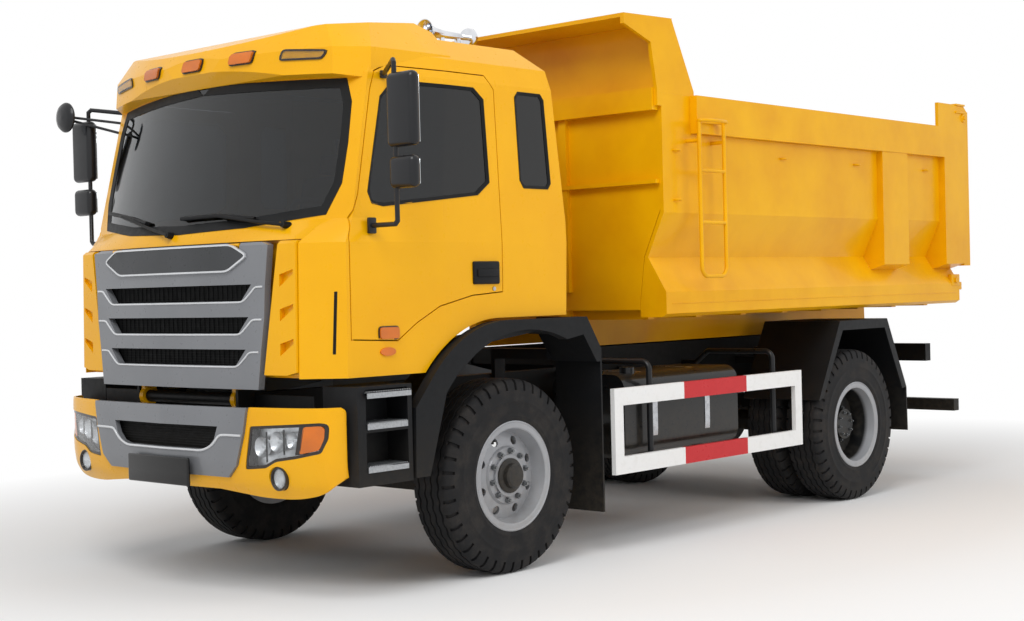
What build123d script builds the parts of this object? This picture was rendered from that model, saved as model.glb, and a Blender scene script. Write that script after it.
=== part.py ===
from build123d import *
import math
import os

# Mining dump truck, cab over engine, two axles, millimetres
# +Z up, front towards -Y, truck's left side towards +X, ground at Z = 0
# The drawing below has the front axle at Y = 0. Each piece is moved to the
# middle of the overall length as it is written.

os.makedirs("parts", exist_ok=True)

# Driving dimensions
WHEELBASE = 3500.0
TYRE_RADIUS = 525.0
TYRE_WIDTH = 278.0
RIM_RADIUS = 296.0
TRACK_FRONT_HALF = 1010.0
TWIN_OUTER_HALF = 1075.0
TWIN_SPACING = 315.0
FRONT_END = -1460.0
REAR_END = 5190.0
ORIGIN_SHIFT = -(FRONT_END + REAR_END) / 2
SEAT = 0.3
MOVE_GAP = 8.0

# Chassis
FRAME_HALF = 430.0
FRAME_TOP = 1030.0
FRAME_DEPTH = 250.0
FRAME_FLANGE = 75.0
FRAME_PLATE = 10.0
FRAME_FRONT = -1180.0
FRAME_REAR = 5000.0
SUBFRAME_HEIGHT = 115.0
TOW_HOLE_RADIUS = 18.0
TOW_PLATE = 25.0
TILT_Y = -1250.0
TILT_Z = 1000.0
TILT_TUBE_RADIUS = 32.0
PIN_GAP = 0.4

# Steering
KINGPIN_HALF = 830.0
KINGPIN_RADIUS = 24.0
STEER_ARM = 190.0

# Cab
CAB_HALF = 1150.0
CAB_WALL = 45.0
CAB_REAR = 455.0
CAB_BOTTOM = 1118.0
CAB_ARCH_BOTTOM = 1380.0
ROOF_Z = 2860.0
DOOR_GAP = 6.0
DOOR_AXIS_X = 1117.0
DOOR_AXIS_Y = -1120.0
DOOR_PIN = 5.0
GLASS = 6.0

# Load bed
BED_FRONT = 1310.0
BED_HALF = 1205.0
BED_RAIL_HALF = 1256.0
BED_TOP = 2678.0
BED_RAIL_BOTTOM = 2448.0
BED_FLOOR_TOP = 1400.0
BED_BOTTOM = 1340.0
BED_WALL = 25.0
BED_REAR = 5090.0
PIVOT_Y = 4950.0
PIVOT_Z = 1120.0
PIVOT_RADIUS = 45.0
GATE_Y = 5112.0
GATE_Z = 2760.0
GATE_PIN = 18.0
GATE_PIN_DEPTH = 30.0

# Hoist
HOIST_Y = 3300.0
HOIST_Z = 860.0
ROD_EYE_Y = 1800.0
ROD_EYE_Z = 1220.0
BARREL_RADIUS = 75.0
ROD_RADIUS = 42.0


def block(x0, x1, y0, y1, z0, z1):
    """A box between two corners."""
    middle = Vector((x0 + x1) / 2, (y0 + y1) / 2, (z0 + z1) / 2)
    return Pos(middle) * Box(abs(x1 - x0), abs(y1 - y0), abs(z1 - z0))


def side_plate(points, x0, x1):
    """An outline of (y, z) points, from x0 to x1."""
    face = make_face(Polyline(*[(x0, y, z) for y, z in points], close=True))
    return extrude(face, amount=x1 - x0, dir=(1, 0, 0))


def inner_cross_plate(points, step, y0, y1):
    """An outline of (x, z) points moved inwards by a step, from y0 to y1."""
    face = make_face(Polyline(*[(x, y0, z) for x, z in points], close=True))
    return extrude(offset(face, amount=-step, kind=Kind.INTERSECTION), amount=y1 - y0, dir=(0, 1, 0))


def cross_plate(points, y0, y1):
    """An outline of (x, z) points, from y0 to y1."""
    face = make_face(Polyline(*[(x, y0, z) for x, z in points], close=True))
    return extrude(face, amount=y1 - y0, dir=(0, 1, 0))


def level_plate(points, z0, z1):
    """An outline of (x, y) points, from z0 to z1."""
    face = make_face(Polyline(*[(x, y, z0) for x, y in points], close=True))
    return extrude(face, amount=z1 - z0, dir=(0, 0, 1))


def rod(start, end, radius):
    """A round bar between two points."""
    start = Vector(start)
    run = Vector(end) - start
    plane = Plane(origin=start, z_dir=run)
    return extrude(plane * Circle(radius), amount=run.length)


def ring(start, end, outer, inner):
    """A round tube between two points."""
    return rod(start, end, outer) - rod(start, end, inner)


def bent_tube(points, radius, bend):
    """A tube with rounded corners through the points."""
    path = FilletPolyline(*points, radius=bend)
    start = Vector(points[0])
    plane = Plane(origin=start, z_dir=Vector(points[1]) - start)
    return sweep(plane * Circle(radius), path=path)


def across(shape):
    """The same shape on the other side of the truck."""
    return mirror(shape, about=Plane.YZ)


def join(shapes):
    """All shapes fused."""
    total = shapes[0]
    for shape in shapes[1:]:
        total = total + shape
    return total


def solids_of(shape):
    """The solids in a shape or in a list of shapes."""
    if isinstance(shape, (list, tuple)):
        return [solid for piece in shape for solid in solids_of(piece)]
    return list(shape.solids())


def both(shape):
    """The shape and its mirror image, apart."""
    return solids_of(shape) + solids_of(across(shape))


def write(name, shapes):
    """One piece of the truck, moved to the middle of its length."""
    solids = solids_of(shapes)
    whole = solids[0] if len(solids) == 1 else Compound(children=solids)
    whole = whole.moved(Location((0, ORIGIN_SHIFT, 0)))
    whole.label = name
    export_step(whole, f"parts/{name}.step")
    print(name, len(solids), round(sum(s.volume for s in solids) / 1e6, 2), "litres")


# Frame, rails and cross members
def frame_rails():
    inner = FRAME_HALF - FRAME_PLATE
    rail = block(inner, FRAME_HALF, FRAME_FRONT, FRAME_REAR, FRAME_TOP - FRAME_DEPTH, FRAME_TOP)
    for low in (FRAME_TOP - FRAME_PLATE, FRAME_TOP - FRAME_DEPTH):
        rail += block(FRAME_HALF - FRAME_FLANGE, inner, FRAME_FRONT, FRAME_REAR, low, low + FRAME_PLATE)
    lug_top = TILT_Z + TILT_TUBE_RADIUS + 20
    lug = side_plate([(FRAME_FRONT + 60, FRAME_TOP), (FRAME_FRONT, FRAME_TOP - 200),
                      (TILT_Y - 45, TILT_Z - 60), (TILT_Y - 45, lug_top), (TILT_Y + 45, lug_top)],
                     FRAME_HALF - FRAME_PLATE, FRAME_HALF + 10)
    back = bumper_front(FRAME_HALF) + BUMPER_SKIN + SEAT
    arm = side_plate([(FRAME_FRONT, 880), (-1310, 700), (back, 690), (back, 620), (-1290, 620),
                      (FRAME_FRONT + 90, 790)], FRAME_HALF - 30, FRAME_HALF)
    beams = [rail + lug + arm, across(rail + lug + arm)]
    for place, low, high in ((-1120, 820, 900), (1450, 905, 990), (3560, 900, 1000), (4300, 850, 1000)):
        beams.append(block(-inner, inner, place - 45, place + 45, low, high))
    beams.append(rod((-FRAME_HALF, TILT_Y, TILT_Z), (FRAME_HALF, TILT_Y, TILT_Z), TILT_TUBE_RADIUS))
    beams.append(rod((-inner, HOIST_Y, HOIST_Z), (inner, HOIST_Y, HOIST_Z), 40))
    return join(beams)


SUBFRAME_TOP = FRAME_TOP + SUBFRAME_HEIGHT


def hoist_subframe():
    rail = block(FRAME_HALF - 70, FRAME_HALF, 1250, PIVOT_Y - 225, FRAME_TOP, SUBFRAME_TOP)
    bracket = side_plate([(PIVOT_Y - 300, FRAME_TOP - 150), (PIVOT_Y - 20, FRAME_TOP - 150),
                          (PIVOT_Y + 45, FRAME_TOP), (PIVOT_Y + 65, PIVOT_Z), (PIVOT_Y + 40, PIVOT_Z + 55),
                          (PIVOT_Y - 50, PIVOT_Z + 60), (PIVOT_Y - 300, FRAME_TOP + 70)],
                         FRAME_HALF, FRAME_HALF + 25)
    beams = [rail + bracket, across(rail + bracket)]
    for place in (1300, 3620, 4600):
        beams.append(block(-FRAME_HALF + 70, FRAME_HALF - 70, place - 40, place + 40, FRAME_TOP + 15, SUBFRAME_TOP))
    reach = FRAME_HALF + 25
    beams.append(rod((-reach, PIVOT_Y, PIVOT_Z), (reach, PIVOT_Y, PIVOT_Z), PIVOT_RADIUS))
    return join(beams)


# Engine, gearbox and radiator as one plain mass
def power_unit():
    engine = block(-330, 330, -560, 330, 800, 1345)
    sump = block(-200, 200, -500, 250, 700, 800)
    gearbox = side_plate([(330, 740), (330, 1180), (560, 1100), (1000, 1000), (1000, 740)], -190, 190)
    radiator = block(-345, 345, -1040, -950, 920, 1470)
    shroud = side_plate([(-950, 1000), (-950, 1400), (-560, 1300), (-560, 1050)], -230, 230)
    return engine + sump + gearbox + radiator + shroud


# Axles and springs
def front_axle():
    beam = cross_plate([(-700, 560), (-560, 500), (560, 500), (700, 560), (KINGPIN_HALF - 45, 590),
                        (KINGPIN_HALF - 45, 470), (700, 450), (540, 405), (-540, 405), (-700, 450),
                        (-KINGPIN_HALF + 45, 470), (-KINGPIN_HALF + 45, 590)], -45, 45)
    eye = rod((KINGPIN_HALF, 0, 470), (KINGPIN_HALF, 0, 590), 46)
    pin = rod((KINGPIN_HALF, 0, 420), (KINGPIN_HALF, 0, 640), KINGPIN_RADIUS)
    pads = block(380, 460, -110, 110, 500, 530)
    side = eye + pin + pads + spring_pack(0, 1300, 530, 7, 385, 455)
    for end in (-650, 650):
        side += block(390, 450, end - 45, end + 45, 540 + 5 * 16, FRAME_TOP - FRAME_DEPTH - SEAT)
    return beam + side + across(side)


def spring_pack(middle, length, base, leaves, x0, x1):
    """A stack of leaves, longest on top, with its two eyes."""
    points = []
    thick = 16.0
    for step in range(leaves):
        half = length / 2 * (1 - 0.75 * (leaves - 1 - step) / leaves)
        points.append((half, base + step * thick))
        points.append((half, base + (step + 1) * thick))
    outline = [(middle + half, z) for half, z in points]
    outline += [(middle - half, z) for half, z in reversed(points)]
    return side_plate(outline, x0, x1)


def rear_axle():
    tube = rod((-TWIN_OUTER_HALF + 260, WHEELBASE, TYRE_RADIUS), (TWIN_OUTER_HALF - 260, WHEELBASE, TYRE_RADIUS), 75)
    banjo = Pos(0, WHEELBASE, TYRE_RADIUS) * Cylinder(205, 240, rotation=(90, 0, 0))
    nose = rod((0, WHEELBASE - 260, TYRE_RADIUS + 15), (0, WHEELBASE - 100, TYRE_RADIUS + 15), 85)
    side = block(440, 520, WHEELBASE - 90, WHEELBASE + 90, TYRE_RADIUS + 40, 620)
    side += spring_pack(WHEELBASE, 1500, 620, 8, 440, 520)
    for end in (-750, 750):
        place = WHEELBASE + end
        side += block(FRAME_HALF + SEAT, 520, place - 45, place + 45, 620 + 6 * 16, 960)
    return tube + banjo + nose + side + across(side)


def prop_shaft():
    start = Vector(0, 1000 + SEAT, 860)
    end = Vector(0, WHEELBASE - 260 - SEAT, TYRE_RADIUS + 15)
    step = Vector(0, 50, 0)
    shaft = rod(start + step * 0.6, end - step * 0.6, 45)
    return shaft + rod(start, start + step, 80) + rod(end - step, end, 70)


# Steering knuckles and tie rod
STUB_END = TRACK_FRONT_HALF + 60


def knuckle(side):
    upper = ring((KINGPIN_HALF, 0, 592), (KINGPIN_HALF, 0, 640), 44, KINGPIN_RADIUS + PIN_GAP)
    lower = ring((KINGPIN_HALF, 0, 420), (KINGPIN_HALF, 0, 468), 44, KINGPIN_RADIUS + PIN_GAP)
    plate = block(KINGPIN_HALF + 52, KINGPIN_HALF + 76, -70, 70, 420, 640)
    arms = block(KINGPIN_HALF + 34, KINGPIN_HALF + 60, -30, 30, 592, 640)
    arms += block(KINGPIN_HALF + 34, KINGPIN_HALF + 60, -30, 30, 420, 468)
    stub = rod((KINGPIN_HALF + 76, 0, TYRE_RADIUS), (STUB_END, 0, TYRE_RADIUS), 35)
    arm = level_plate([(KINGPIN_HALF - 20, 38), (KINGPIN_HALF + 20, 38), (KINGPIN_HALF - 20, STEER_ARM + 22),
                       (KINGPIN_HALF - 60, STEER_ARM + 22)], 420, 440)
    ball = rod((KINGPIN_HALF - 40, STEER_ARM, 400), (KINGPIN_HALF - 40, STEER_ARM, 440), 14)
    body = upper + lower + plate + arms + stub + arm + ball
    return body if side > 0 else across(body)


def tie_rod():
    reach = KINGPIN_HALF - 40
    bar = rod((-reach, STEER_ARM, 385), (reach, STEER_ARM, 385), 15)
    for x in (-reach, reach):
        bar += rod((x, STEER_ARM, 368), (x, STEER_ARM, 400 - SEAT), 26)
    return bar


# Wheels: tyre outline out to the tread, rim with a dished disc
def tyre(centre_x):
    half = TYRE_WIDTH / 2
    bead = half * 0.80 - 2 * SEAT
    half_outline = [(bead, RIM_RADIUS - 24), (bead, RIM_RADIUS + SEAT),
                    (half * 0.92, RIM_RADIUS + SEAT), (half, RIM_RADIUS + 60), (half * 0.97, TYRE_RADIUS - 70),
                    (half * 0.84, TYRE_RADIUS - 12), (half * 0.60, TYRE_RADIUS)]
    outline = [(centre_x - x, r) for x, r in half_outline]
    outline += [(centre_x + x, r) for x, r in reversed(half_outline)]
    face = make_face(Polyline(*[(x, 0, r) for x, r in outline], close=True))
    return revolve(face, axis=Axis.X)


def rim_barrel(centre_x, disc_x, disc_out):
    """Barrel with flanges and a web at disc_x."""
    half = TYRE_WIDTH / 2 * 0.80 - SEAT
    edge = half + 14
    seat = RIM_RADIUS - 24 - SEAT
    outline = [(centre_x - edge, RIM_RADIUS), (centre_x - half, RIM_RADIUS), (centre_x - half, seat),
               (centre_x + half, seat), (centre_x + half, RIM_RADIUS), (centre_x + edge, RIM_RADIUS),
               (centre_x + edge, RIM_RADIUS - 40), (disc_x + disc_out, RIM_RADIUS - 62),
               (disc_x + disc_out * 0.4, 160), (disc_x, 150), (disc_x, 60), (disc_x - 20, 60),
               (disc_x - 20, 162), (disc_x + disc_out - 30, RIM_RADIUS - 60),
               (centre_x - edge, RIM_RADIUS - 40)]
    face = make_face(Polyline(*[(x, 0, r) for x, r in outline], close=True))
    return revolve(face, axis=Axis.X)


HAND_HOLES = 8
NUTS = 10


def front_rim():
    centre = TRACK_FRONT_HALF
    disc_x = centre + 85
    rim = rim_barrel(centre, disc_x, -35)
    for index in range(HAND_HOLES):
        angle = math.radians(360 / HAND_HOLES * (index + 0.5))
        hole = rod((disc_x - 120, math.sin(angle) * 198, math.cos(angle) * 198),
                   (disc_x + 60, math.sin(angle) * 198, math.cos(angle) * 198), 24)
        rim -= hole
    hub = ring((STUB_END - 125, 0, 0), (disc_x + 12, 0, 0), 112, 35 + PIN_GAP)
    cap = rod((disc_x + 12, 0, 0), (disc_x + 45, 0, 0), 62)
    wheel = rim + hub + cap
    return Pos(0, 0, TYRE_RADIUS) * wheel


def rear_rims():
    outer = TWIN_OUTER_HALF
    inner = outer - TWIN_SPACING
    face = outer - 62
    shell = rim_barrel(outer, face, 20)
    other = rim_barrel(inner, face - 45, -20)
    drum = ring((inner + 30, 0, 0), (face - 10, 0, 0), 205, 76 + 5)
    hub = rod((face - 10, 0, 0), (face + 100, 0, 0), 105)
    wheel = shell + other + drum + hub
    return Pos(0, WHEELBASE, TYRE_RADIUS) * wheel


# Fuel tank, air tanks, battery box and silencer
def fuel_tank():
    x0, x1, y0, y1, z0, z1 = 560, 1110, 1010, 2180, 520, 1010
    tank = block(x0, x1, y0, y1, z0, z1)
    tank = fillet(tank.edges().filter_by(Axis.Y), 90)
    cap = rod((1000, 1180, z1 - 20), (1000, 1180, z1 + 35), 45)
    arms = []
    for place in (1300, 1840):
        arms.append(block(FRAME_HALF + SEAT, x0 + 90, place - 35, place + 35, z0 - 40, z0 + 40))
        arms.append(block(FRAME_HALF + SEAT, FRAME_HALF + 40, place - 35, place + 35, z0 - 40, FRAME_TOP - 20))
        arms.append(block(FRAME_HALF + SEAT, x1 - 60, place - 35, place + 35, z0 - 40, z0))
    return join([tank, cap] + arms)


def air_tanks():
    tanks = []
    for y0, y1 in ((1010, 1750), (1800, 2400)):
        tank = rod((-700, y0, 720), (-700, y1, 720), 130)
        strap = block(-600, -FRAME_HALF - SEAT, (y0 + y1) / 2 - 40, (y0 + y1) / 2 + 40, 700, 900)
        tanks.append(tank + strap)
    return tanks


def battery_box():
    box = block(-1080, -860, 1060, 1700, 520, 900)
    arm = block(-860, -FRAME_HALF - SEAT, 1080, 1140, 860, 900) + block(-860, -FRAME_HALF - SEAT, 1620, 1680, 860, 900)
    return box + arm


def silencer():
    rear = WHEELBASE - TYRE_RADIUS - 55
    drum = rod((-690, rear - 400, 700), (-690, rear, 700), 140)
    strap = block(-560, -FRAME_HALF - SEAT, rear - 350, rear - 290, 680, 900)
    return drum + strap


# Bumper with its insert and lamps
BUMPER_TOP = 980.0
BUMPER_LOW = 560.0
BUMPER_SKIN = 12.0
BUMPER_CORNER_X = 700.0
BUMPER_CORNER_Y = -1410.0
INSERT_PROUD = 14.0
BUMPER_SIDE_END = -1165.0


def bumper_front(x):
    """Y of the bumper's front at a distance from the middle."""
    middle = FRONT_END + INSERT_PROUD
    return middle + (BUMPER_CORNER_Y - middle) * abs(x) / BUMPER_CORNER_X


def bumper_outline(inset):
    half = CAB_HALF + 25 - inset
    right = [(half, -1020), (half, -1180), (1060 - inset * 0.6, -1330 + inset), (BUMPER_CORNER_X, BUMPER_CORNER_Y + inset)]
    left = [(-x, y) for x, y in right]
    return left + [(0, FRONT_END + INSERT_PROUD + inset)] + right[::-1]


INSERT = [(-660, 975), (-520, 760), (-430, 700), (430, 700), (520, 760), (660, 975)]
FOG_RADIUS = 60.0
LAMP = [(690, 890), (1060, 905), (1075, 800), (985, 735), (930, 700), (690, 700)]


def front_bumper():
    shell = level_plate(bumper_outline(0), BUMPER_LOW, BUMPER_TOP)
    shell -= level_plate(bumper_outline(BUMPER_SKIN), BUMPER_LOW - 10, BUMPER_TOP + 10)
    shell -= block(-CAB_HALF - 60, CAB_HALF + 60, BUMPER_SIDE_END, -900, 0, 2000)
    shell -= cross_plate(INSERT, -1600, -1300)
    for side in (1, -1):
        shell -= cross_plate([(x * side, z) for x, z in LAMP], -1600, -1200)
        shell -= rod((side * 872, -1600, 635), (side * 872, -1200, 635), FOG_RADIUS)
    return shell


def bumper_insert():
    front = level_plate(bumper_outline(-INSERT_PROUD), BUMPER_LOW, BUMPER_TOP)
    front -= level_plate(bumper_outline(10), 0, 2000)
    piece = front & inner_cross_plate(INSERT, SEAT, -1700, -1200)
    piece -= cross_plate([(-440, 880), (-400, 800), (-330, 762), (330, 762), (400, 800), (440, 880)], -1700, -1200)
    return piece


def front_lamps():
    front = level_plate(bumper_outline(-8), BUMPER_LOW, BUMPER_TOP)
    front -= level_plate(bumper_outline(70), 0, 2000)
    lamp = front & inner_cross_plate(LAMP, SEAT, -1700, -1200)
    fog = front & rod((872, -1600, 635), (872, -1200, 635), FOG_RADIUS - SEAT)
    return both(lamp) + both(fog)


# Steps below the doors
def step_panels():
    front = BUMPER_SIDE_END + SEAT
    panel = level_plate([(940, front), (1190, front), (1190, -800), (940, -800)], 590, 1075)
    for low in (680, 1020 - 130):
        panel -= block(1040, 1250, -1110, -830, low, low + 170)
    tread = block(1040, 1205, -1110, -830, 1030, 1045)
    bracket = block(FRAME_HALF + SEAT, 945, -1100, -1040, 820, 900)
    return both(panel + tread + bracket)


# Wheel arches, fixed to the frame
def arch_side():
    outer = Polyline((0, -690, 600), (0, -790, 600), (0, -780, 950), (0, -645, 1108))
    climb = ThreePointArc((0, -645, 1108), (0, -420, 1285), (0, -112, 1366))
    back = Polyline((0, -112, 1366), (0, 527, 1366), (0, 545, 1268), (0, 400, 1245))
    roof = ThreePointArc((0, 400, 1245), (0, -200, 1262), (0, -560, 1010))
    down = Line((0, -560, 1010), (0, -690, 600))
    face = make_face([outer, climb, back, roof, down])
    return face


def front_fenders():
    flare = extrude(arch_side(), amount=60, dir=(1, 0, 0)).moved(Location((1140, 0, 0)))
    lining_face = Polyline((0, -640, 620), (0, -560, 1000), (0, -200, 1250), (0, 200, 1295), (0, 540, 1268),
                           (0, 545, 1290), (0, 200, 1320), (0, -215, 1276), (0, -585, 1012), (0, -662, 620),
                           close=True)
    lining = extrude(make_face(lining_face), amount=1145 - 850, dir=(1, 0, 0)).moved(Location((850, 0, 0)))
    flap = block(860, 1195, 690, 702, 250, 1120)
    stay = side_plate([(527, 1366), (545, 1268), (660, 1108), (700, 1108), (702, 1180), (580, 1366)], 860, 1195)
    arm = block(FRAME_HALF + SEAT, 870, 600, 690, 1120, 1180) + block(FRAME_HALF + SEAT, FRAME_HALF + 30, 600, 690, 900, 1180)
    return both(flare + lining + flap + stay + arm)


# Side guards
def side_guards():
    y0, y1, z0, z1, bar = 785, 2780, 450, 945, 100
    frame = block(1185, 1215, y0, y1, z0, z1) - block(1100, 1300, y0 + 80, y1 - 80, z0 + bar, z1 - bar)
    for place in (1200, 2530):
        stay = bent_tube([(FRAME_HALF + SEAT, place, 1000), (540, place, 1000), (640, place, 1080),
                          (1150, place, 1080), (1150, place, z0 + 40)], 18, 50)
        frame += stay
        for height in (z1 - bar / 2, z0 + bar / 2):
            frame += block(1150, 1190, place - 20, place + 20, height - 20, height + 20)
    return both(frame)


# Rear mudguards of folded sheet
def rear_mudguards():
    outer = [(-526, 730), (-235, 1255), (417, 1255), (682, 747), (690, 430)]
    inner = [(678, 430), (670, 745), (409, 1243), (-227, 1243), (-515, 724)]
    lip = [(-526, 730), (-235, 1255), (417, 1255), (682, 747), (620, 740), (380, 1190), (-200, 1190), (-470, 740)]
    guard_out = TWIN_OUTER_HALF + TYRE_WIDTH / 2 + 16
    guard_in = TWIN_OUTER_HALF - TWIN_SPACING - TYRE_WIDTH / 2 - 1
    sheet = side_plate(outer + inner, guard_in, guard_out) + side_plate(lip, guard_out - 10, guard_out)
    arm = block(FRAME_HALF + SEAT, guard_in + 20, 400, 460, 940, 1000) + block(guard_in - 20, guard_in + 20, 400, 460, 940, 1200)
    other = block(FRAME_HALF + SEAT, guard_in, -340, -280, 960, 1010) + block(guard_in - 30, guard_in + SEAT, -340, -280, 960, 1080)
    return both((sheet + arm + other).moved(Location((0, WHEELBASE, 0))))


# Rear lamp beam and underrun beam, on two hangers
def rear_beams():
    top = block(-960, 960, FRAME_REAR + SEAT, FRAME_REAR + 80, 890, 1025)
    low = block(-1200, 1200, FRAME_REAR - 20, FRAME_REAR + 60, 510, 600)
    hanger = block(340, 420, FRAME_REAR + SEAT, FRAME_REAR + 60, 590, 900)
    lug = side_plate([(FRAME_REAR + 70, 905), (FRAME_REAR + 130, 930), (FRAME_REAR + 150, 955), (FRAME_REAR + 130, 985),
                      (FRAME_REAR + 70, 1010)], 300, 300 + TOW_PLATE)
    lug -= rod((290, FRAME_REAR + 115, 957), (340, FRAME_REAR + 115, 957), TOW_HOLE_RADIUS)
    hanger += lug
    return top + low + hanger + across(hanger)


# Cab shell: horizontal outlines lofted from floor to roof
# Each row: height, front middle, corner, front of the side, widest point, rear of the side
LID_Y = -1345.0
LID_Z = 1785.0
LID_PIN = 8.0
SECTIONS = [(1060, -1345, (930, -1300), (1125, -1160), (1150, -500), (1150, 440)),
            (1780, -1345, (930, -1285), (1120, -1150), (1150, -500), (1150, 470)),
            (1900, -1300, (945, -1125), (1092, -1078), (1142, -500), (1146, 470)),
            (2630, -1125, (955, -950), (1058, -918), (1100, -400), (1105, 420)),
            (2740, -1085, (930, -895), (1030, -850), (1072, -400), (1080, 400)),
            (2860, -960, (850, -790), (920, -720), (950, -400), (955, 280))]


def section_face(row, inset):
    """One horizontal outline of the cab, moved in by an inset."""
    height, front, corner, side, widest, rear = row
    corner = (corner[0] - inset * 0.5, corner[1] + inset)
    points = [corner, (side[0] - inset, side[1] + inset * 0.5), (widest[0] - inset, widest[1]),
              (rear[0] - inset, rear[1] - inset)]
    left = [(x, y, height) for x, y in points]
    right = [(-x, y, height) for x, y in points]
    edges = [ThreePointArc(right[0], (0, front + inset, height), left[0])]
    edges += [Line(start, end) for start, end in zip(left[:-1], left[1:])]
    edges += [Line(left[-1], right[-1])]
    edges += [Line(start, end) for start, end in zip(right[1:], right[:-1])]
    return make_face(edges)


def cab_form(inset, top_inset=None):
    """The cab's outside, or the same form further in."""
    faces = [section_face(row, inset) for row in SECTIONS]
    form = loft(faces, ruled=True)
    if top_inset:
        form -= block(-1300, 1300, -1500, 600, ROOF_Z - top_inset, ROOF_Z + 100)
    return form


def under_cut(grow):
    """What the cab leaves free below: arches, and the tunnel for engine and radiator."""
    low = 1000
    start = (-1300, -652 - grow, CAB_BOTTOM + grow * 0.3)
    end = (-1300, -109, CAB_ARCH_BOTTOM + grow)
    curve = ThreePointArc(start, (-1300, -429 - grow * 0.5, 1299 + grow * 0.8), end)
    rest = Polyline(end, (-1300, 700, CAB_ARCH_BOTTOM + grow), (-1300, 700, low), (-1300, start[1], low), start)
    cut = extrude(make_face([curve, rest]), amount=2600, dir=(1, 0, 0))
    cut += block(-400 - grow, 400 + grow, -1500, 0, low, 1500 + grow)
    cut += block(-1300, 1300, -1500, 700, low, CAB_BOTTOM + grow)
    return cut


DOOR_OUT = [(-1135, 1300), (-832, 1285), (-700, 1370), (-538, 1450), (-300, 1500), (-62, 1515), (-48, 2600),
            (-110, 2675), (-800, 2675), (-880, 2640), (-915, 2547), (-1038, 2012), (-1130, 1800)]
DOOR_WINDOW = [(-950, 1975), (-880, 1962), (-230, 2033), (-136, 2100), (-140, 2540), (-210, 2596), (-640, 2596),
               (-780, 2580), (-850, 2510), (-970, 2030)]
QUARTER_WINDOW = [(114, 2120), (140, 2080), (335, 2080), (360, 2110), (345, 2570), (320, 2600), (140, 2600),
                  (114, 2570)]


def grown(points, step):
    """The outline moved outwards by a step, or inwards if negative."""
    face = make_face(Polyline(*[(0, y, z) for y, z in points], close=True))
    return offset(face, amount=step, kind=Kind.INTERSECTION) if step else face


def grown_plate(points, step, x0, x1):
    return extrude(grown(points, step), amount=x1 - x0, dir=(1, 0, 0)).moved(Location((x0, 0, 0)))


FRONT_GLASS = [(-944, 1926), (-500, 1878), (0, 1862), (500, 1878), (944, 1926), (1004, 2075), (1004, 2278),
               (990, 2483), (945, 2600), (0, 2640), (-945, 2600), (-990, 2483), (-1004, 2278), (-1004, 2075)]
REAR_GLASS = [(-700, 2100), (700, 2100), (700, 2500), (-700, 2500)]


def cab_shell():
    outer = cab_form(0) - under_cut(0)
    inner = cab_form(CAB_WALL, CAB_WALL) - under_cut(CAB_WALL)
    shell = outer - inner
    shell -= block(-925, 925, -1500, -1240, 1000, 1801)
    shell += cab_front_wall()
    shell -= cross_plate([(x, z) for x, z in FRONT_GLASS], -1500, -700)
    shell -= cross_plate(REAR_GLASS, 200, 600)
    for side in (1, -1):
        low, high = (900, 1300) if side > 0 else (-1300, -900)
        shell -= grown_plate(DOOR_OUT, 0, low, high)
        shell -= grown_plate(QUARTER_WINDOW, 0, low, high)
        place = (side * DOOR_AXIS_X, DOOR_AXIS_Y)
        shell += rod((*place, 1270), (*place, 1335), DOOR_PIN)
    return shell


def cab_front_wall():
    """The wall behind the grille, with the tilt eyes below it."""
    wall = block(-925, 925, -1240, -1210, CAB_BOTTOM, 1801) - block(-370, 370, -1300, -1100, 1000, 1500)
    eye = rod((380, TILT_Y, TILT_Z), (412, TILT_Y, TILT_Z), TILT_TUBE_RADIUS + 20)
    eye += block(380, 412, TILT_Y - 35, TILT_Y + 40, TILT_Z, CAB_BOTTOM + 12)
    eye -= rod((300, TILT_Y, TILT_Z), (500, TILT_Y, TILT_Z), TILT_TUBE_RADIUS + PIN_GAP)
    pin = rod((470, LID_Y, LID_Z), (550, LID_Y, LID_Z), LID_PIN)
    pin += block(500, 520, LID_Y, -1230, LID_Z - 12, LID_Z + 8)
    return wall + eye + across(eye) + pin + across(pin)


def windshield():
    layer = cab_form(4) - cab_form(4 + GLASS)
    face = make_face(Polyline(*[(x, 0, z) for x, z in FRONT_GLASS], close=True))
    pane = offset(face, amount=-SEAT, kind=Kind.INTERSECTION)
    prism = extrude(pane, amount=900, dir=(0, 1, 0)).moved(Location((0, -1500, 0)))
    return layer & prism


def cab_windows():
    layer = cab_form(6) - cab_form(6 + GLASS)
    quarter = layer & grown_plate(QUARTER_WINDOW, -SEAT, 900, 1300)
    rear = layer & cross_plate([(x - math.copysign(SEAT, x), z + (SEAT if z < 2200 else -SEAT)) for x, z in REAR_GLASS],
                               200, 600)
    return both(quarter) + [rear]


def door(side):
    slab = cab_form(0) - cab_form(CAB_WALL)
    panel = slab & grown_plate(DOOR_OUT, -DOOR_GAP, 900, 1300)
    panel -= grown_plate(DOOR_WINDOW, 0, 900, 1300)
    panel -= rod((DOOR_AXIS_X, DOOR_AXIS_Y, 1280), (DOOR_AXIS_X, DOOR_AXIS_Y, 1340), DOOR_PIN + PIN_GAP)
    handle = block(1146, 1162, -291, -102, 1565, 1676)
    panel = panel + handle
    return panel if side > 0 else across(panel)


def door_glass(side):
    layer = cab_form(8) - cab_form(8 + GLASS)
    glass = layer & grown_plate(DOOR_WINDOW, -SEAT, 900, 1300)
    return glass if side > 0 else across(glass)


# Mirrors, on the doors
MIRROR_OUT = 1465.0
MIRROR_WIDTH = 190.0
MIRROR_Y = -1015.0
ROUND_MIRROR_RADIUS = 88.0


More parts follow.
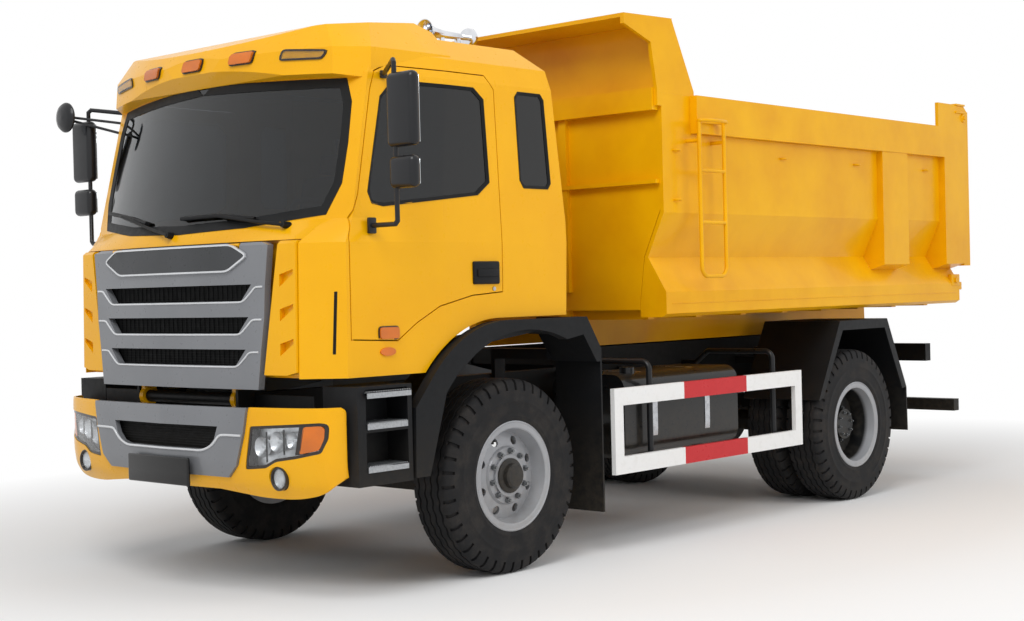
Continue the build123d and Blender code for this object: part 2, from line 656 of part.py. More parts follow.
def mirror_set(side):
    inner = MIRROR_OUT - MIRROR_WIDTH
    big = block(inner, MIRROR_OUT, MIRROR_Y, MIRROR_Y + 65, 2230, 2590)
    small = block(inner + 10, MIRROR_OUT - 5, MIRROR_Y, MIRROR_Y + 65, 2030, 2187)
    bar_y = MIRROR_Y + 30
    bar_x = inner + 40
    arm = rod((1078, -830, 2620), (bar_x, bar_y, 2655), 10)
    post = rod((bar_x, bar_y, 1850), (bar_x, bar_y, 2662), 13)
    low = rod((1130, -985, 1860), (bar_x, bar_y, 1860), 13)
    foot = block(1121, 1140, -1010, -960, 1820, 1900) + block(1069.5, 1088, -850, -810, 2600, 2640)
    body = big + small + arm + post + low + foot
    if side > 0:
        return body
    centre_x = ROUND_MIRROR_RADIUS - MIRROR_OUT
    dish = Pos(centre_x, -1110, 2610) * Rot(90, 0, 0) * Cylinder(ROUND_MIRROR_RADIUS, 40)
    rods = rod((-1080, -885, 2560), (centre_x, -1105, 2615), 8) + rod((-1080, -885, 2495), (centre_x, -1105, 2600), 8)
    return across(body) + dish + rods + block(-1090, -1072.5, -905, -865, 2480, 2572)


# Roof hump over the windshield, with the visor lip
def roof_visor():
    profile = side_plate([(-1125, 2636), (-1200, 2700), (-1190, 2815), (-1010, 2885), (-420, 2945), (-330, 2900),
                          (-330, 2600), (-900, 2600)], -1200, 1200)
    rows = [(2600, -1205, (940, -1045), (1060, -900), (1072, -500), (1072, 100)),
            (2760, -1205, (930, -1035), (1045, -880), (1060, -500), (1060, 100)),
            (2960, -1100, (780, -960), (860, -720), (870, -500), (870, 100))]
    plan = loft([section_face(row, 0) for row in rows], ruled=True)
    hump = profile & plan
    hump -= cab_form(-SEAT)
    solids = hump.solids()
    return max(solids, key=lambda s: s.volume)


# Louvred corner panels beside the grille
def cab_cheeks():
    front = cab_form(-14) & block(-1300, 1300, -1500, -1240 - SEAT, 1130, 1796)
    cheek = front & cross_plate([(808, 1796), (921, 1796), (921, 1150), (860, 1135), (700, 1135)], -1500, -1200)
    cheek -= side_plate([(-1200, 0), (-1200, 2000), (-1235, 2000), (-1235, 0)], 600, 1000)
    for index in range(3):
        low = 1230 + index * 170
        cheek -= cross_plate([(815, low + 60), (905, low + 85), (905, low + 60), (815, low)], -1500, -1290)
    return both(cheek)


# Front panel with three slots
GRILLE = [(-673, 1063), (673, 1063), (697, 1252), (722, 1413), (731, 1577), (754, 1779), (700, 1795), (-700, 1795),
          (-754, 1779), (-731, 1577), (-722, 1413), (-697, 1252)]


def grille():
    layer = cab_form(-28) - cab_form(8)
    panel = layer & cross_plate(GRILLE, -1500, -1200)
    for index in range(3):
        low = 1180 + index * 162
        panel -= cross_plate([(-510 - index * 25, low), (510 + index * 25, low), (585 + index * 25, low + 82),
                              (-585 - index * 25, low + 82)], -1500, -1200)
    for side in (1, -1):
        panel -= block(side * 465, side * 555, -1360, -1200, 1740, 1900)
        for x in (475, 525):
            ear = block(side * x, side * (x + 20), -1362, LID_Y + 14, LID_Z - 40, LID_Z + 10)
            ear -= rod((side * 460, LID_Y, LID_Z), (side * 560, LID_Y, LID_Z), LID_PIN + PIN_GAP)
            panel += ear
    solids = panel.solids()
    return max(solids, key=lambda s: s.volume)


# Inside of the cab
def dashboard():
    top = side_plate([(-1300, 1600), (-1300, 1780), (-1110, 1840), (-860, 1800), (-820, 1600)], -1020, 1020)
    top &= cab_form(CAB_WALL + SEAT)
    top -= block(-930, 930, -1300, -1210 + SEAT, 1500, 1900)
    hub = Vector(480, -690, 1890)
    lean = 38
    column = rod((480, -880, 1650), hub, 35)
    wheel = Pos(hub) * Rot(-lean, 0, 0) * Torus(215, 16)
    spokes = Pos(hub) * Rot(-lean, 0, 0) * (Box(430, 40, 18) + Cylinder(60, 40))
    return top + column + wheel + spokes


def seats():
    result = []
    for x0, x1 in ((220, 760), (-760, -220)):
        near, far = (460, 740) if x0 > 0 else (-740, -460)
        base = block(near, far, -100, 120, CAB_ARCH_BOTTOM + CAB_WALL + SEAT, 1620)
        cushion = block(x0, x1, -350, 180, 1620, 1740)
        back = side_plate([(60, 1740), (170, 1740), (260, 2400), (180, 2400)], x0, x1)
        result.append(base + cushion + back)
    return result


def roof_horn():
    bell = rod((600, -60, 2975), (600, -20, 2975), 70)
    stem = rod((600, -20, 2975), (600, 250, 2975), 22)
    feet = block(585, 615, 60, 90, ROOF_Z + SEAT, 2975) + block(585, 615, 190, 220, ROOF_Z + SEAT, 2975)
    return bell + stem + feet


# Load bed: floor on two long beams
def bed_floor():
    half = 1015
    floor = block(-half, half, BED_FRONT + BED_WALL + SEAT, BED_REAR, BED_FLOOR_TOP - 15, BED_FLOOR_TOP)
    parts = [floor]
    low = SUBFRAME_TOP + MOVE_GAP
    lug = side_plate([(PIVOT_Y - 200, low), (PIVOT_Y - 75, PIVOT_Z - 45), (PIVOT_Y - 20, PIVOT_Z - 75),
                      (PIVOT_Y + 30, PIVOT_Z - 70), (PIVOT_Y + 72, PIVOT_Z), (PIVOT_Y + 60, BED_FLOOR_TOP - 15),
                      (PIVOT_Y - 200, BED_FLOOR_TOP - 15)], FRAME_HALF - 70, FRAME_HALF - MOVE_GAP)
    lug -= rod((0, PIVOT_Y, PIVOT_Z), (FRAME_HALF + 20, PIVOT_Y, PIVOT_Z), PIVOT_RADIUS + PIN_GAP)
    beam = block(FRAME_HALF - 70, FRAME_HALF - MOVE_GAP, BED_FRONT, PIVOT_Y - 200, low, BED_FLOOR_TOP - 15)
    parts += [beam + lug, across(beam + lug)]
    for index in range(8):
        place = BED_FRONT + 100 + index * 500
        parts.append(block(-half, half, place - 30, place + 30, BED_FLOOR_TOP - 75, BED_FLOOR_TOP - 15))
    for x in (-1, 1):
        cheek = block(x * 60, x * 90, ROD_EYE_Y - 70, ROD_EYE_Y + 70, ROD_EYE_Z - 60, BED_FLOOR_TOP - 15)
        parts.append(cheek - rod((-100, ROD_EYE_Y, ROD_EYE_Z), (100, ROD_EYE_Y, ROD_EYE_Z), 25 + PIN_GAP))
    return join(parts)


SIDE_OUTLINE = [(BED_HALF, BED_RAIL_BOTTOM), (BED_HALF, 1965), (1080, 1700), (1210, 1490), (1210, 1360),
                (1175, BED_BOTTOM), (1015 + SEAT, BED_BOTTOM), (1015 + SEAT, 1420), (1055, 1705),
                (BED_HALF - BED_WALL, 1975), (BED_HALF - BED_WALL, BED_TOP), (BED_RAIL_HALF, BED_TOP),
                (BED_RAIL_HALF, BED_RAIL_BOTTOM)]


def bed_side(side):
    start = BED_FRONT
    wall = cross_plate(SIDE_OUTLINE, start, BED_REAR)
    wall -= block(BED_HALF, 1300, start - 10, 1600, BED_RAIL_BOTTOM - 10, BED_TOP + 10)
    skin = BED_HALF - BED_WALL / 2
    wall += cross_plate([(skin, BED_RAIL_BOTTOM + 5), (1250, BED_RAIL_BOTTOM + 5), (1250, 1640), (1120, 1600),
                         (1070, 1705), (skin, 1970)], 3864, 4229)
    wall += cross_plate([(skin, 2600), (BED_RAIL_HALF, 2600), (BED_RAIL_HALF, 1640), (1120, 1600),
                         (1070, 1705), (skin, 1970)], 4800, BED_REAR)
    wall += block(BED_HALF - BED_WALL, BED_RAIL_HALF, BED_REAR, REAR_END, 1625, 2811)
    ear = side_plate([(4710, BED_TOP), (REAR_END, BED_TOP), (REAR_END, 2800), (5120, 2855), (4710, 2855)],
                     BED_RAIL_HALF - 25, BED_RAIL_HALF)
    wall += ear
    inner = BED_HALF - BED_WALL
    wall -= rod((inner - 10, GATE_Y, GATE_Z), (inner + GATE_PIN_DEPTH + 1, GATE_Y, GATE_Z), GATE_PIN + PIN_GAP)
    return wall if side > 0 else across(wall)


def headboard():
    half = BED_HALF - BED_WALL - SEAT
    plate = cross_plate([(-half, 1985), (-1052, 1708), (-1013, 1425), (-1013, BED_FLOOR_TOP - 15),
                         (1013, BED_FLOOR_TOP - 15), (1013, 1425), (1052, 1708), (half, 1985), (half, 3090),
                         (-half, 3090)], BED_FRONT, BED_FRONT + BED_WALL)
    parts = [plate, block(-half, half, BED_FRONT - 60, BED_FRONT, 2576, 2707)]
    parts.append(block(-half, half, BED_FRONT - 40, BED_FRONT, 2140, 2165))
    for x in (-450, 450):
        parts.append(block(x - 30, x + 30, BED_FRONT - 30, BED_FRONT, 1500, 2576))
    return join(parts)


def canopy():
    half = BED_HALF - SEAT
    roof = side_plate([(965, 3092), (965, 3116), (1434, 3131), (1434, 3107), (1336, 3103), (1336, 3090 + SEAT),
                       (1300, 3090 + SEAT)], -half, half)
    cheek = side_plate([(1271, 2700), (1220, 2970), (965, 3055), (965, 3100), (1434, 3120), (1643, 2705),
                        (1643, BED_TOP + SEAT), (BED_FRONT, BED_TOP + SEAT), (BED_FRONT - 1, 2600), (1271, 2600)],
                       BED_HALF - BED_WALL, BED_HALF)
    return roof + cheek + across(cheek)


def ladder():
    x = 1300
    rail_low = 1580
    frame = bent_tube([(x, 1556, 2440), (x, 1556, rail_low), (x, 1815, rail_low), (x, 1815, 2440)], 13, 60)
    for height in (2220, 1906):
        frame += rod((x, 1556, height), (x, 1815, height), 12)
    for y in (1556, 1815):
        frame += rod((BED_HALF + SEAT, y, 2400), (x, y, 2400), 12)
    return frame


def tailgate():
    half = BED_HALF - BED_WALL - MOVE_GAP
    front = BED_REAR + MOVE_GAP
    plate = cross_plate([(-half, 1990), (-1060, 1712), (-1020, 1430), (1020, 1430), (1060, 1712), (half, 1990),
                         (half, 2640), (-half, 2640)], front, front + 20)
    parts = [plate]
    for x in (-700, -230, 230, 700):
        parts.append(block(x - 40, x + 40, front + 20, REAR_END - 30, 1440, 2630))
    for z in (1440, 2000, 2560):
        reach = 1010 if z < 1900 else half
        parts.append(block(-reach, reach, front + 20, REAR_END - 30, z, z + 70))
    arm = block(half - 40, half, GATE_Y - 40, GATE_Y + 40, 2600, GATE_Z + 40)
    pin = rod((half - 30, GATE_Y, GATE_Z), (half + MOVE_GAP + GATE_PIN_DEPTH, GATE_Y, GATE_Z), GATE_PIN)
    parts += [arm + pin, across(arm + pin)]
    return join(parts)


# Hoist cylinder between the frame and the bed
HOIST_RUN = Vector(0, ROD_EYE_Y - HOIST_Y, ROD_EYE_Z - HOIST_Z)


def hoist_barrel():
    along = HOIST_RUN.normalized()
    foot = Vector(0, HOIST_Y, HOIST_Z)
    eye = ring((-60, HOIST_Y, HOIST_Z), (60, HOIST_Y, HOIST_Z), 78, 40 + PIN_GAP)
    barrel = ring(foot + along * 70, foot + HOIST_RUN - along * 150, BARREL_RADIUS, ROD_RADIUS + PIN_GAP)
    barrel -= rod((-100, HOIST_Y, HOIST_Z), (100, HOIST_Y, HOIST_Z), 40 + PIN_GAP)
    return eye + barrel


def hoist_rod():
    along = HOIST_RUN.normalized()
    foot = Vector(0, HOIST_Y, HOIST_Z)
    tip = foot + HOIST_RUN
    bar = rod(foot + along * 130, tip - along * 40, ROD_RADIUS)
    eye = rod((-50, ROD_EYE_Y, ROD_EYE_Z), (50, ROD_EYE_Y, ROD_EYE_Z), 50)
    pin = rod((-55, ROD_EYE_Y, ROD_EYE_Z), (55, ROD_EYE_Y, ROD_EYE_Z), 25)
    return eye + bar + pin


write("frame_rails", frame_rails())
write("hoist_subframe", hoist_subframe())
write("power_unit", power_unit())
write("front_axle", front_axle())
write("rear_axle", rear_axle())
write("prop_shaft", prop_shaft())
write("fuel_tank", fuel_tank())
write("air_tanks", air_tanks())
write("battery_box", battery_box())
write("silencer", silencer())
write("front_bumper", front_bumper())
write("bumper_insert", bumper_insert())
write("front_lamps", front_lamps())
write("step_panels", step_panels())
write("front_fenders", front_fenders())
write("side_guards", side_guards())
write("rear_mudguards", rear_mudguards())
write("rear_beams", rear_beams())
write("cab_shell", cab_shell())
write("roof_visor", roof_visor())
write("cab_cheeks", cab_cheeks())
write("windshield", windshield())
write("cab_windows", cab_windows())
write("dashboard", dashboard())
write("seats", seats())
write("roof_horn", roof_horn())
write("grille", grille())
write("bed_floor", bed_floor())
write("headboard", headboard())
write("canopy", canopy())
write("ladder", ladder())
write("tailgate", tailgate())
write("hoist_barrel", hoist_barrel())
write("hoist_rod", hoist_rod())
write("tie_rod", tie_rod())
for side, word in ((1, "left"), (-1, "right")):
    write(f"knuckle_{word}", knuckle(side))
    write(f"door_{word}", door(side))
    write(f"door_glass_{word}", door_glass(side))
    write(f"mirrors_{word}", mirror_set(side))
    write(f"bed_side_{word}", bed_side(side))
    front_tyre = Pos(0, 0, TYRE_RADIUS) * tyre(TRACK_FRONT_HALF)
    rear_tyres = Pos(0, WHEELBASE, TYRE_RADIUS) * tyre(TWIN_OUTER_HALF)
    inner_tyre = Pos(0, WHEELBASE, TYRE_RADIUS) * tyre(TWIN_OUTER_HALF - TWIN_SPACING)
    turn = (lambda s: s) if side > 0 else across
    write(f"tyre_front_{word}", turn(front_tyre))
    write(f"rim_front_{word}", turn(front_rim()))
    write(f"tyres_rear_{word}", [turn(rear_tyres), turn(inner_tyre)])
    write(f"rims_rear_{word}", turn(rear_rims()))
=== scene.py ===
# %% [markdown]
# # A small mining dump truck, dressed for its portrait
# The frame of the truck comes ready made: every rail, panel and wheel is already in its
# place, in metres, with the front towards -Y and the truck's left side towards +X.
# This lesson gives each of those pieces its real finish, and adds what a maker would bolt,
# weld or glue on afterwards: treads, nuts, seals, wipers, lamps, mirrors, seats and a horn.

# %% Load the frame
import math

import bmesh
import bpy
from mathutils import Matrix, Vector
from mathutils.bvhtree import BVHTree


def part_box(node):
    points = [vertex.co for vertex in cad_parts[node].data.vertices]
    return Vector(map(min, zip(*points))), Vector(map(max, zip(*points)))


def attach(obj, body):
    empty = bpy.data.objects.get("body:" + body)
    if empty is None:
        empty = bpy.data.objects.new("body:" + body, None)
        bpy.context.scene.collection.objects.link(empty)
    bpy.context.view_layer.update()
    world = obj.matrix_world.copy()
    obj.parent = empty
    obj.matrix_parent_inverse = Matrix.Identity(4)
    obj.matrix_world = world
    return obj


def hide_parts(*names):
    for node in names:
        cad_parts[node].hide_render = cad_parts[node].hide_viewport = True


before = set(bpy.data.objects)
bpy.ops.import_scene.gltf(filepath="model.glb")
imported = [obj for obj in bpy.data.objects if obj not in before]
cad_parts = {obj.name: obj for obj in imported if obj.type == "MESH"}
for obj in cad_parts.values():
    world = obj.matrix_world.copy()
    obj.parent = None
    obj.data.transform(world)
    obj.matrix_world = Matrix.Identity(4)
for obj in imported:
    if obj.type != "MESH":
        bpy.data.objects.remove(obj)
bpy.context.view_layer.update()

# The truck was drawn with its front axle at y = 0, and the frame holds that axle at BACK.
BACK = -1.865
REAR_AXLE = 3.5
WHEEL_RADIUS = 0.525

# %% [markdown]
# ## The camera
# The picture was taken from the truck's front left, about 10 m away and at a standing
# person's eye height. The camera gets the same place, a slight roll, and the same angle of
# view, so that render and picture can be laid on each other.

# %% Camera
LOOK = math.radians(42.22)
TIP = math.radians(-0.794)
ROLL = math.radians(-1.415)
EYE = (6.8515, -8.1447, 1.533)
FOCAL_MM, SENSOR_MM = 55.52, 36.0
forward = Vector((-math.sin(LOOK) * math.cos(TIP), math.cos(LOOK) * math.cos(TIP), math.sin(TIP)))
level_right = Vector((math.cos(LOOK), math.sin(LOOK), 0))
level_up = level_right.cross(forward)
right = math.cos(ROLL) * level_right + math.sin(ROLL) * level_up
up = math.cos(ROLL) * level_up - math.sin(ROLL) * level_right
camera = bpy.data.objects.new("camera", bpy.data.cameras.new("camera"))
bpy.context.scene.collection.objects.link(camera)
camera.data.sensor_width = SENSOR_MM
camera.data.lens = FOCAL_MM
camera.data.clip_end = 200.0
turn = Matrix((right, up, -forward)).transposed().to_4x4()
camera.matrix_world = Matrix.Translation(EYE) @ turn
bpy.context.scene.camera = camera

# %% [markdown]
# ## Node helpers
# A finish is a handful of shader nodes. One helper adds a node with its settings and links,
# and one turns a paint chart's hex value into the linear numbers that Blender counts in.

# %% The paint chart and the node helper
def paint(text):
    """A hex colour as linear red, green and blue, with full cover."""
    channels = [int(text[i:i + 2], 16) / 255 for i in (1, 3, 5)]
    linear = [c / 12.92 if c <= 0.04045 else ((c + 0.055) / 1.055) ** 2.4 for c in channels]
    return (*linear, 1.0)


def add(tree, kind, settings=None, inputs=None):
    """A new node with its settings, its plain values and its links."""
    made = tree.nodes.new(kind)
    for key, value in (settings or {}).items():
        setattr(made, key, value)
    for key, value in (inputs or {}).items():
        if isinstance(value, bpy.types.NodeSocket):
            tree.links.new(value, made.inputs[key])
        else:
            made.inputs[key].default_value = value
    return made

# %% A new finish, its patterns and its sums
def finish_of(name, **shader_values):
    """A new material with its shader, and the object coordinates its patterns use."""
    made = bpy.data.materials.new(name)
    made.use_nodes = True
    tree = made.node_tree
    shader = tree.nodes["Principled BSDF"]
    for key, value in shader_values.items():
        shader.inputs[key.replace("_", " ")].default_value = value
    place = add(tree, "ShaderNodeTexCoord")
    return made, tree, shader, place.outputs["Object"]


def noise(tree, place, size_mm, detail=3.0, rough=0.55):
    """Cloudy noise whose patches are about this many millimetres wide."""
    inputs = {"Vector": place, "Scale": 1000.0 / size_mm, "Detail": detail, "Roughness": rough}
    return add(tree, "ShaderNodeTexNoise", None, inputs).outputs["Fac"]


def ramp(tree, value, low, high, start, end):
    """Takes low..high to start..end, and holds the ends."""
    inputs = {"Value": value, "From Min": low, "From Max": high, "To Min": start, "To Max": end}
    return add(tree, "ShaderNodeMapRange", {"clamp": True}, inputs).outputs["Result"]


def mixed(tree, share, first, second):
    """One colour over another by a share."""
    made = add(tree, "ShaderNodeMix", {"data_type": "RGBA"}, {"Factor": share})
    for index, value in ((6, first), (7, second)):
        if isinstance(value, bpy.types.NodeSocket):
            tree.links.new(value, made.inputs[index])
        else:
            made.inputs[index].default_value = value
    return made.outputs[2]


def worked(tree, kind, first, second=0.0):
    """One sum or comparison of two values."""
    return add(tree, "ShaderNodeMath", {"operation": kind}, {0: first, 1: second}).outputs[0]


def axes_of(tree, place):
    """The x, y and z of a point or of a direction, in metres."""
    return add(tree, "ShaderNodeSeparateXYZ", None, {0: place}).outputs


def distance(tree, first, second):
    """How far a point is from zero in two of its coordinates."""
    squares = [worked(tree, "POWER", part, 2.0) for part in (first, second)]
    return worked(tree, "SQRT", worked(tree, "ADD", *squares))


def bumped(tree, shader, height, depth_mm, under=None):
    """Waves or grain of this depth in the shading, on top of others if these are given."""
    inputs = {"Height": height, "Distance": depth_mm / 1000.0, "Strength": 1.0}
    if under is not None:
        inputs["Normal"] = under
    made = add(tree, "ShaderNodeBump", None, inputs)
    tree.links.new(made.outputs["Normal"], shader.inputs["Normal"])
    return made.outputs["Normal"]

# %% [markdown]
# ## Floor and light
# The object stands on a pale floor in soft light, as in a studio with a white sweep. A broad
# lamp high on the front left gives the form its shading, and a white world fills the rest.
# The lamps are kept low enough that a colour renders about as it is written.

# %% Floor
def seen_plainly(tree):
    """1 for rays from the camera, from mirrors and through glass, and 0 for all others."""
    rays = add(tree, "ShaderNodeLightPath").outputs
    direct = worked(tree, "MAXIMUM", rays["Is Camera Ray"], rays["Is Glossy Ray"])
    return worked(tree, "MAXIMUM", direct, rays["Is Transmission Ray"])


floor_mesh = bmesh.new()
bmesh.ops.create_grid(floor_mesh, x_segments=2, y_segments=2, size=60)
floor = bpy.data.objects.new("floor", bpy.data.meshes.new("floor"))
floor_mesh.to_mesh(floor.data)
floor_mesh.free()
bpy.context.scene.collection.objects.link(floor)

# %% The floor fades to white a few metres from the truck
FADE_FROM, FADE_TO = 2.6, 5.5
FADE_LENGTHWAYS = 1.45
sweep, tree, shader, place = finish_of("pale studio sweep", Roughness=0.9)
shader.inputs["Base Color"].default_value = paint("#F4F4F4")
shader.inputs["Specular IOR Level"].default_value = 0.1
spot = axes_of(tree, place)
away = distance(tree, spot[0], worked(tree, "DIVIDE", spot[1], FADE_LENGTHWAYS))
glow = add(tree, "ShaderNodeEmission", None, {"Color": (1, 1, 1, 1), "Strength": 1.0})
fade = worked(tree, "MULTIPLY", ramp(tree, away, FADE_FROM, FADE_TO, 0.0, 1.0), seen_plainly(tree))
blended = add(tree, "ShaderNodeMixShader", None,
              {0: fade, 1: shader.outputs["BSDF"], 2: glow.outputs["Emission"]})
tree.links.new(blended.outputs["Shader"], tree.nodes["Material Output"].inputs["Surface"])
floor.data.materials.append(sweep)

# %% Light
WORLD_LIGHT = 0.5
world = bpy.data.worlds.new("white studio")
bpy.context.scene.world = world
world.use_nodes = True
sky = world.node_tree.nodes["Background"]
sky.inputs["Color"].default_value = (1, 1, 1, 1)
strength = ramp(world.node_tree, seen_plainly(world.node_tree), 0, 1, WORLD_LIGHT, 1.0)
world.node_tree.links.new(strength, sky.inputs["Strength"])


def soft_box(name, place, aim, size, watts):
    """A square lamp that faces the point it is aimed at."""
    lamp = bpy.data.objects.new(name, bpy.data.lights.new(name, "AREA"))
    lamp.data.shape = "SQUARE"
    lamp.data.size = size
    lamp.data.energy = watts
    facing = (Vector(aim) - Vector(place)).to_track_quat("-Z", "Y")
    lamp.matrix_world = Matrix.Translation(place) @ facing.to_matrix().to_4x4()
    bpy.context.scene.collection.objects.link(lamp)
    return lamp


soft_box("key light", (4.0, -9.0, 9.5), (0, -0.5, 1.2), 6.0, 700)
side_lamp = soft_box("side light", (10.0, 1.5, 6.0), (0, 0.5, 1.3), 6.0, 330)
side_lamp.visible_glossy = False
bpy.context.scene.view_settings.view_transform = "Standard"

# %% [markdown]
# ## Paint and plain materials
# Most of the truck is one glossy yellow coat over pressed or welded steel. Under the clear
# gloss the coat is never quite even: it waves a little, fades in broad clouds, and holds a
# veil of dust low down and on ledges. The same recipe, with other numbers, gives the
# black chassis paint, the grey lacquer of the front and the black plastics.

# %% The recipe for a coat
DUST = "#8F7F66"
GRAIN_MM = 4


def coated(name, colour, second, gloss, wave_mm, wave_depth, dust, coat, metal=0.0, grain_depth=0.0,
           dust_top=0.9):
    """A painted or moulded skin: colour clouds, a gloss that varies, and dust low down and on ledges."""
    made, tree, shader, place = finish_of(name, Metallic=metal)
    clouds = noise(tree, place, 420, 4.0)
    streaks = noise(tree, place, 35, 5.0, 0.7)
    base = mixed(tree, ramp(tree, clouds, 0.35, 0.7, 0.0, 1.0), paint(colour), paint(second))
    height = axes_of(tree, place)[2]
    normal = add(tree, "ShaderNodeNewGeometry").outputs["Normal"]
    ledge = ramp(tree, axes_of(tree, normal)[2], 0.5, 1.0, 0.0, 0.35)
    low = ramp(tree, height, 0.3, dust_top, 1.0, 0.0)
    streaked = ramp(tree, streaks, 0.35, 0.75, 0.2, 1.0)
    veil = worked(tree, "MULTIPLY", worked(tree, "MAXIMUM", ledge, low), streaked)
    veil = worked(tree, "MULTIPLY", veil, dust)
    tree.links.new(mixed(tree, veil, base, paint(DUST)), shader.inputs["Base Color"])
    varied = ramp(tree, streaks, 0.3, 0.8, gloss * 0.85, gloss * 1.25)
    rough = worked(tree, "ADD", varied, worked(tree, "MULTIPLY", veil, 0.5))
    tree.links.new(rough, shader.inputs["Roughness"])
    shader.inputs["Specular IOR Level"].default_value = 0.2
    shader.inputs["Coat Weight"].default_value = coat
    shader.inputs["Coat Roughness"].default_value = 0.06
    waves = bumped(tree, shader, noise(tree, place, wave_mm, 2.0), wave_depth)
    if grain_depth:
        bumped(tree, shader, noise(tree, place, GRAIN_MM, 2.0), grain_depth, waves)
    return made

# %% Coats
# After its two colours, each coat says its roughness, the width and depth of its waves in
# millimetres, how much dust shows, and how strong the clear coat is.
yellow = coated("cab enamel on pressed steel", "#F0B004", "#EBA903", 0.3, 90, 0.12, 0.05, 0.2)
bed_yellow = coated("load bed enamel on welded plate", "#EEB000", "#E29F00", 0.36, 140, 1.8, 0.05, 0.1,
                    dust_top=1.2)
chassis_black = coated("chassis black paint", "#0B0C0D", "#101112", 0.5, 50, 0.4, 0.16, 0.0,
                       dust_top=1.0)
tank_black = coated("tank lacquer on rolled steel", "#0F1011", "#151618", 0.3, 120, 0.5, 0.2, 0.3)
moulded_black = coated("moulded black polypropylene", "#121315", "#17181A", 0.5, 120, 0.2, 0.12, 0.0,
                       grain_depth=0.15)
grille_grey = coated("grey lacquer on moulded ABS", "#7C7E82", "#75777B", 0.3, 80, 0.1, 0.10, 0.4,
                     metal=0.15)
cast_grey = coated("cast iron under engine grey", "#5A5E62", "#4C4F52", 0.6, 20, 0.8, 0.4, 0.0)
rubber_flap = coated("moulded rubber flap", "#1D1C1B", "#242220", 0.75, 60, 1.0, 0.5, 0.0, dust_top=1.0)
mirror_black = coated("mirror housing, moulded ABS", "#18191C", "#1F2023", 0.35, 80, 0.1, 0.15, 0.3)
lamp_bezel = coated("lamp bezel, dark moulded ABS", "#2A2523", "#302B28", 0.3, 60, 0.1, 0.1, 0.4)
badge_grey = coated("badge panel, dark grey lacquer", "#3A3C3F", "#333537", 0.3, 80, 0.1, 0.1, 0.25)
silver_paint = coated("wheel silver on pressed steel", "#A6A8AC", "#999BA0", 0.38, 40, 0.3, 0.25, 0.2,
                      metal=0.35)
zinc = coated("zinc plated bolts", "#8C8F92", "#7C7F82", 0.38, 12, 0.1, 0.2, 0.0, metal=0.9)

# %% Side guards: white with red middle lengths
RED_FROM, RED_TO = 1.46 + BACK, 2.13 + BACK
OUTER_FACE = 1.18
guard_white, tree, shader, place = finish_of("guard paint, white with red lengths", Roughness=0.3)
across, along, _ = axes_of(tree, place)
inside = worked(tree, "MULTIPLY", worked(tree, "GREATER_THAN", along, RED_FROM),
                worked(tree, "LESS_THAN", along, RED_TO))
outer_face = worked(tree, "GREATER_THAN", worked(tree, "ABSOLUTE", across), OUTER_FACE)
spots = noise(tree, place, 55, 5.0, 0.7)
white = mixed(tree, ramp(tree, spots, 0.5, 0.8, 0.0, 0.3), paint("#ECECEB"), paint("#C9C6BF"))
red = mixed(tree, ramp(tree, spots, 0.45, 0.8, 0.0, 0.4), paint("#C4252A"), paint("#AE2025"))
both_colours = mixed(tree, inside, white, red)
tree.links.new(mixed(tree, outer_face, paint("#1A1B1D"), both_colours), shader.inputs["Base Color"])
tree.links.new(ramp(tree, spots, 0.3, 0.8, 0.25, 0.45), shader.inputs["Roughness"])
shader.inputs["Specular IOR Level"].default_value = 0.3
bumped(tree, shader, noise(tree, place, 30, 2.0), 0.15)

# %% [markdown]
# ## Glass
# The panes are tinted safety glass. Light crosses two faces of each pane, so the tint is
# written at about the square root of what it lets through.

# %% Glass finishes
def pane(name, colour, rough=0.0, clear=1.0):
    """Clear or tinted glass under a thin uneven film."""
    made, tree, shader, place = finish_of(name, Roughness=rough)
    shader.inputs["Transmission Weight"].default_value = clear
    shader.inputs["IOR"].default_value = 1.5
    film = noise(tree, place, 160, 4.0)
    tree.links.new(mixed(tree, ramp(tree, film, 0.3, 0.8, 0.0, 0.35), paint(colour), paint("#2B3338")),
                   shader.inputs["Base Color"])
    smears = ramp(tree, noise(tree, place, 90, 5.0, 0.7), 0.4, 0.9, rough, rough + 0.02)
    tree.links.new(smears, shader.inputs["Roughness"])
    return made


tinted = pane("tinted laminated glass", "#59636B")
side_glass = pane("tinted toughened glass", "#1C2329")
clear_lens = pane("clear moulded polycarbonate", "#F4F6F8")
amber_lens = pane("amber moulded acrylic", "#F58218", 0.06, 0.25)
red_lens = pane("red moulded acrylic", "#C21010", 0.06, 0.3)

# %% [markdown]
# ## Bare and plated metal
# Bare metal has no coat to hold dust, only a thin film that dulls it here and there.

# %% Metals
def metal(name, colour, rough, size_mm=25, depth=0.05):
    """Bare or plated metal under a thin film, whose patches and depth are in millimetres."""
    made, tree, shader, place = finish_of(name, Metallic=1.0)
    film = noise(tree, place, size_mm, 4.0, 0.6)
    tree.links.new(mixed(tree, ramp(tree, film, 0.4, 0.8, 0, 0.5), paint(colour), paint("#8A8C90")),
                   shader.inputs["Base Color"])
    tree.links.new(ramp(tree, film, 0.3, 0.8, rough, rough * 2.0), shader.inputs["Roughness"])
    bumped(tree, shader, film, depth)
    return made


chrome = metal("chrome plate", "#E4E6EA", 0.05)
polished_chrome = metal("polished chrome trumpet", "#E4E6EA", 0.08, 200, 0.0)
bright_steel = metal("brushed stainless trim", "#C2C4C8", 0.22)
mirror_silver = metal("silvered mirror", "#D8DEE2", 0.02, 300, 0.0)
galvanised = metal("galvanised tread plate", "#B4B7BA", 0.35, 12, 0.3)

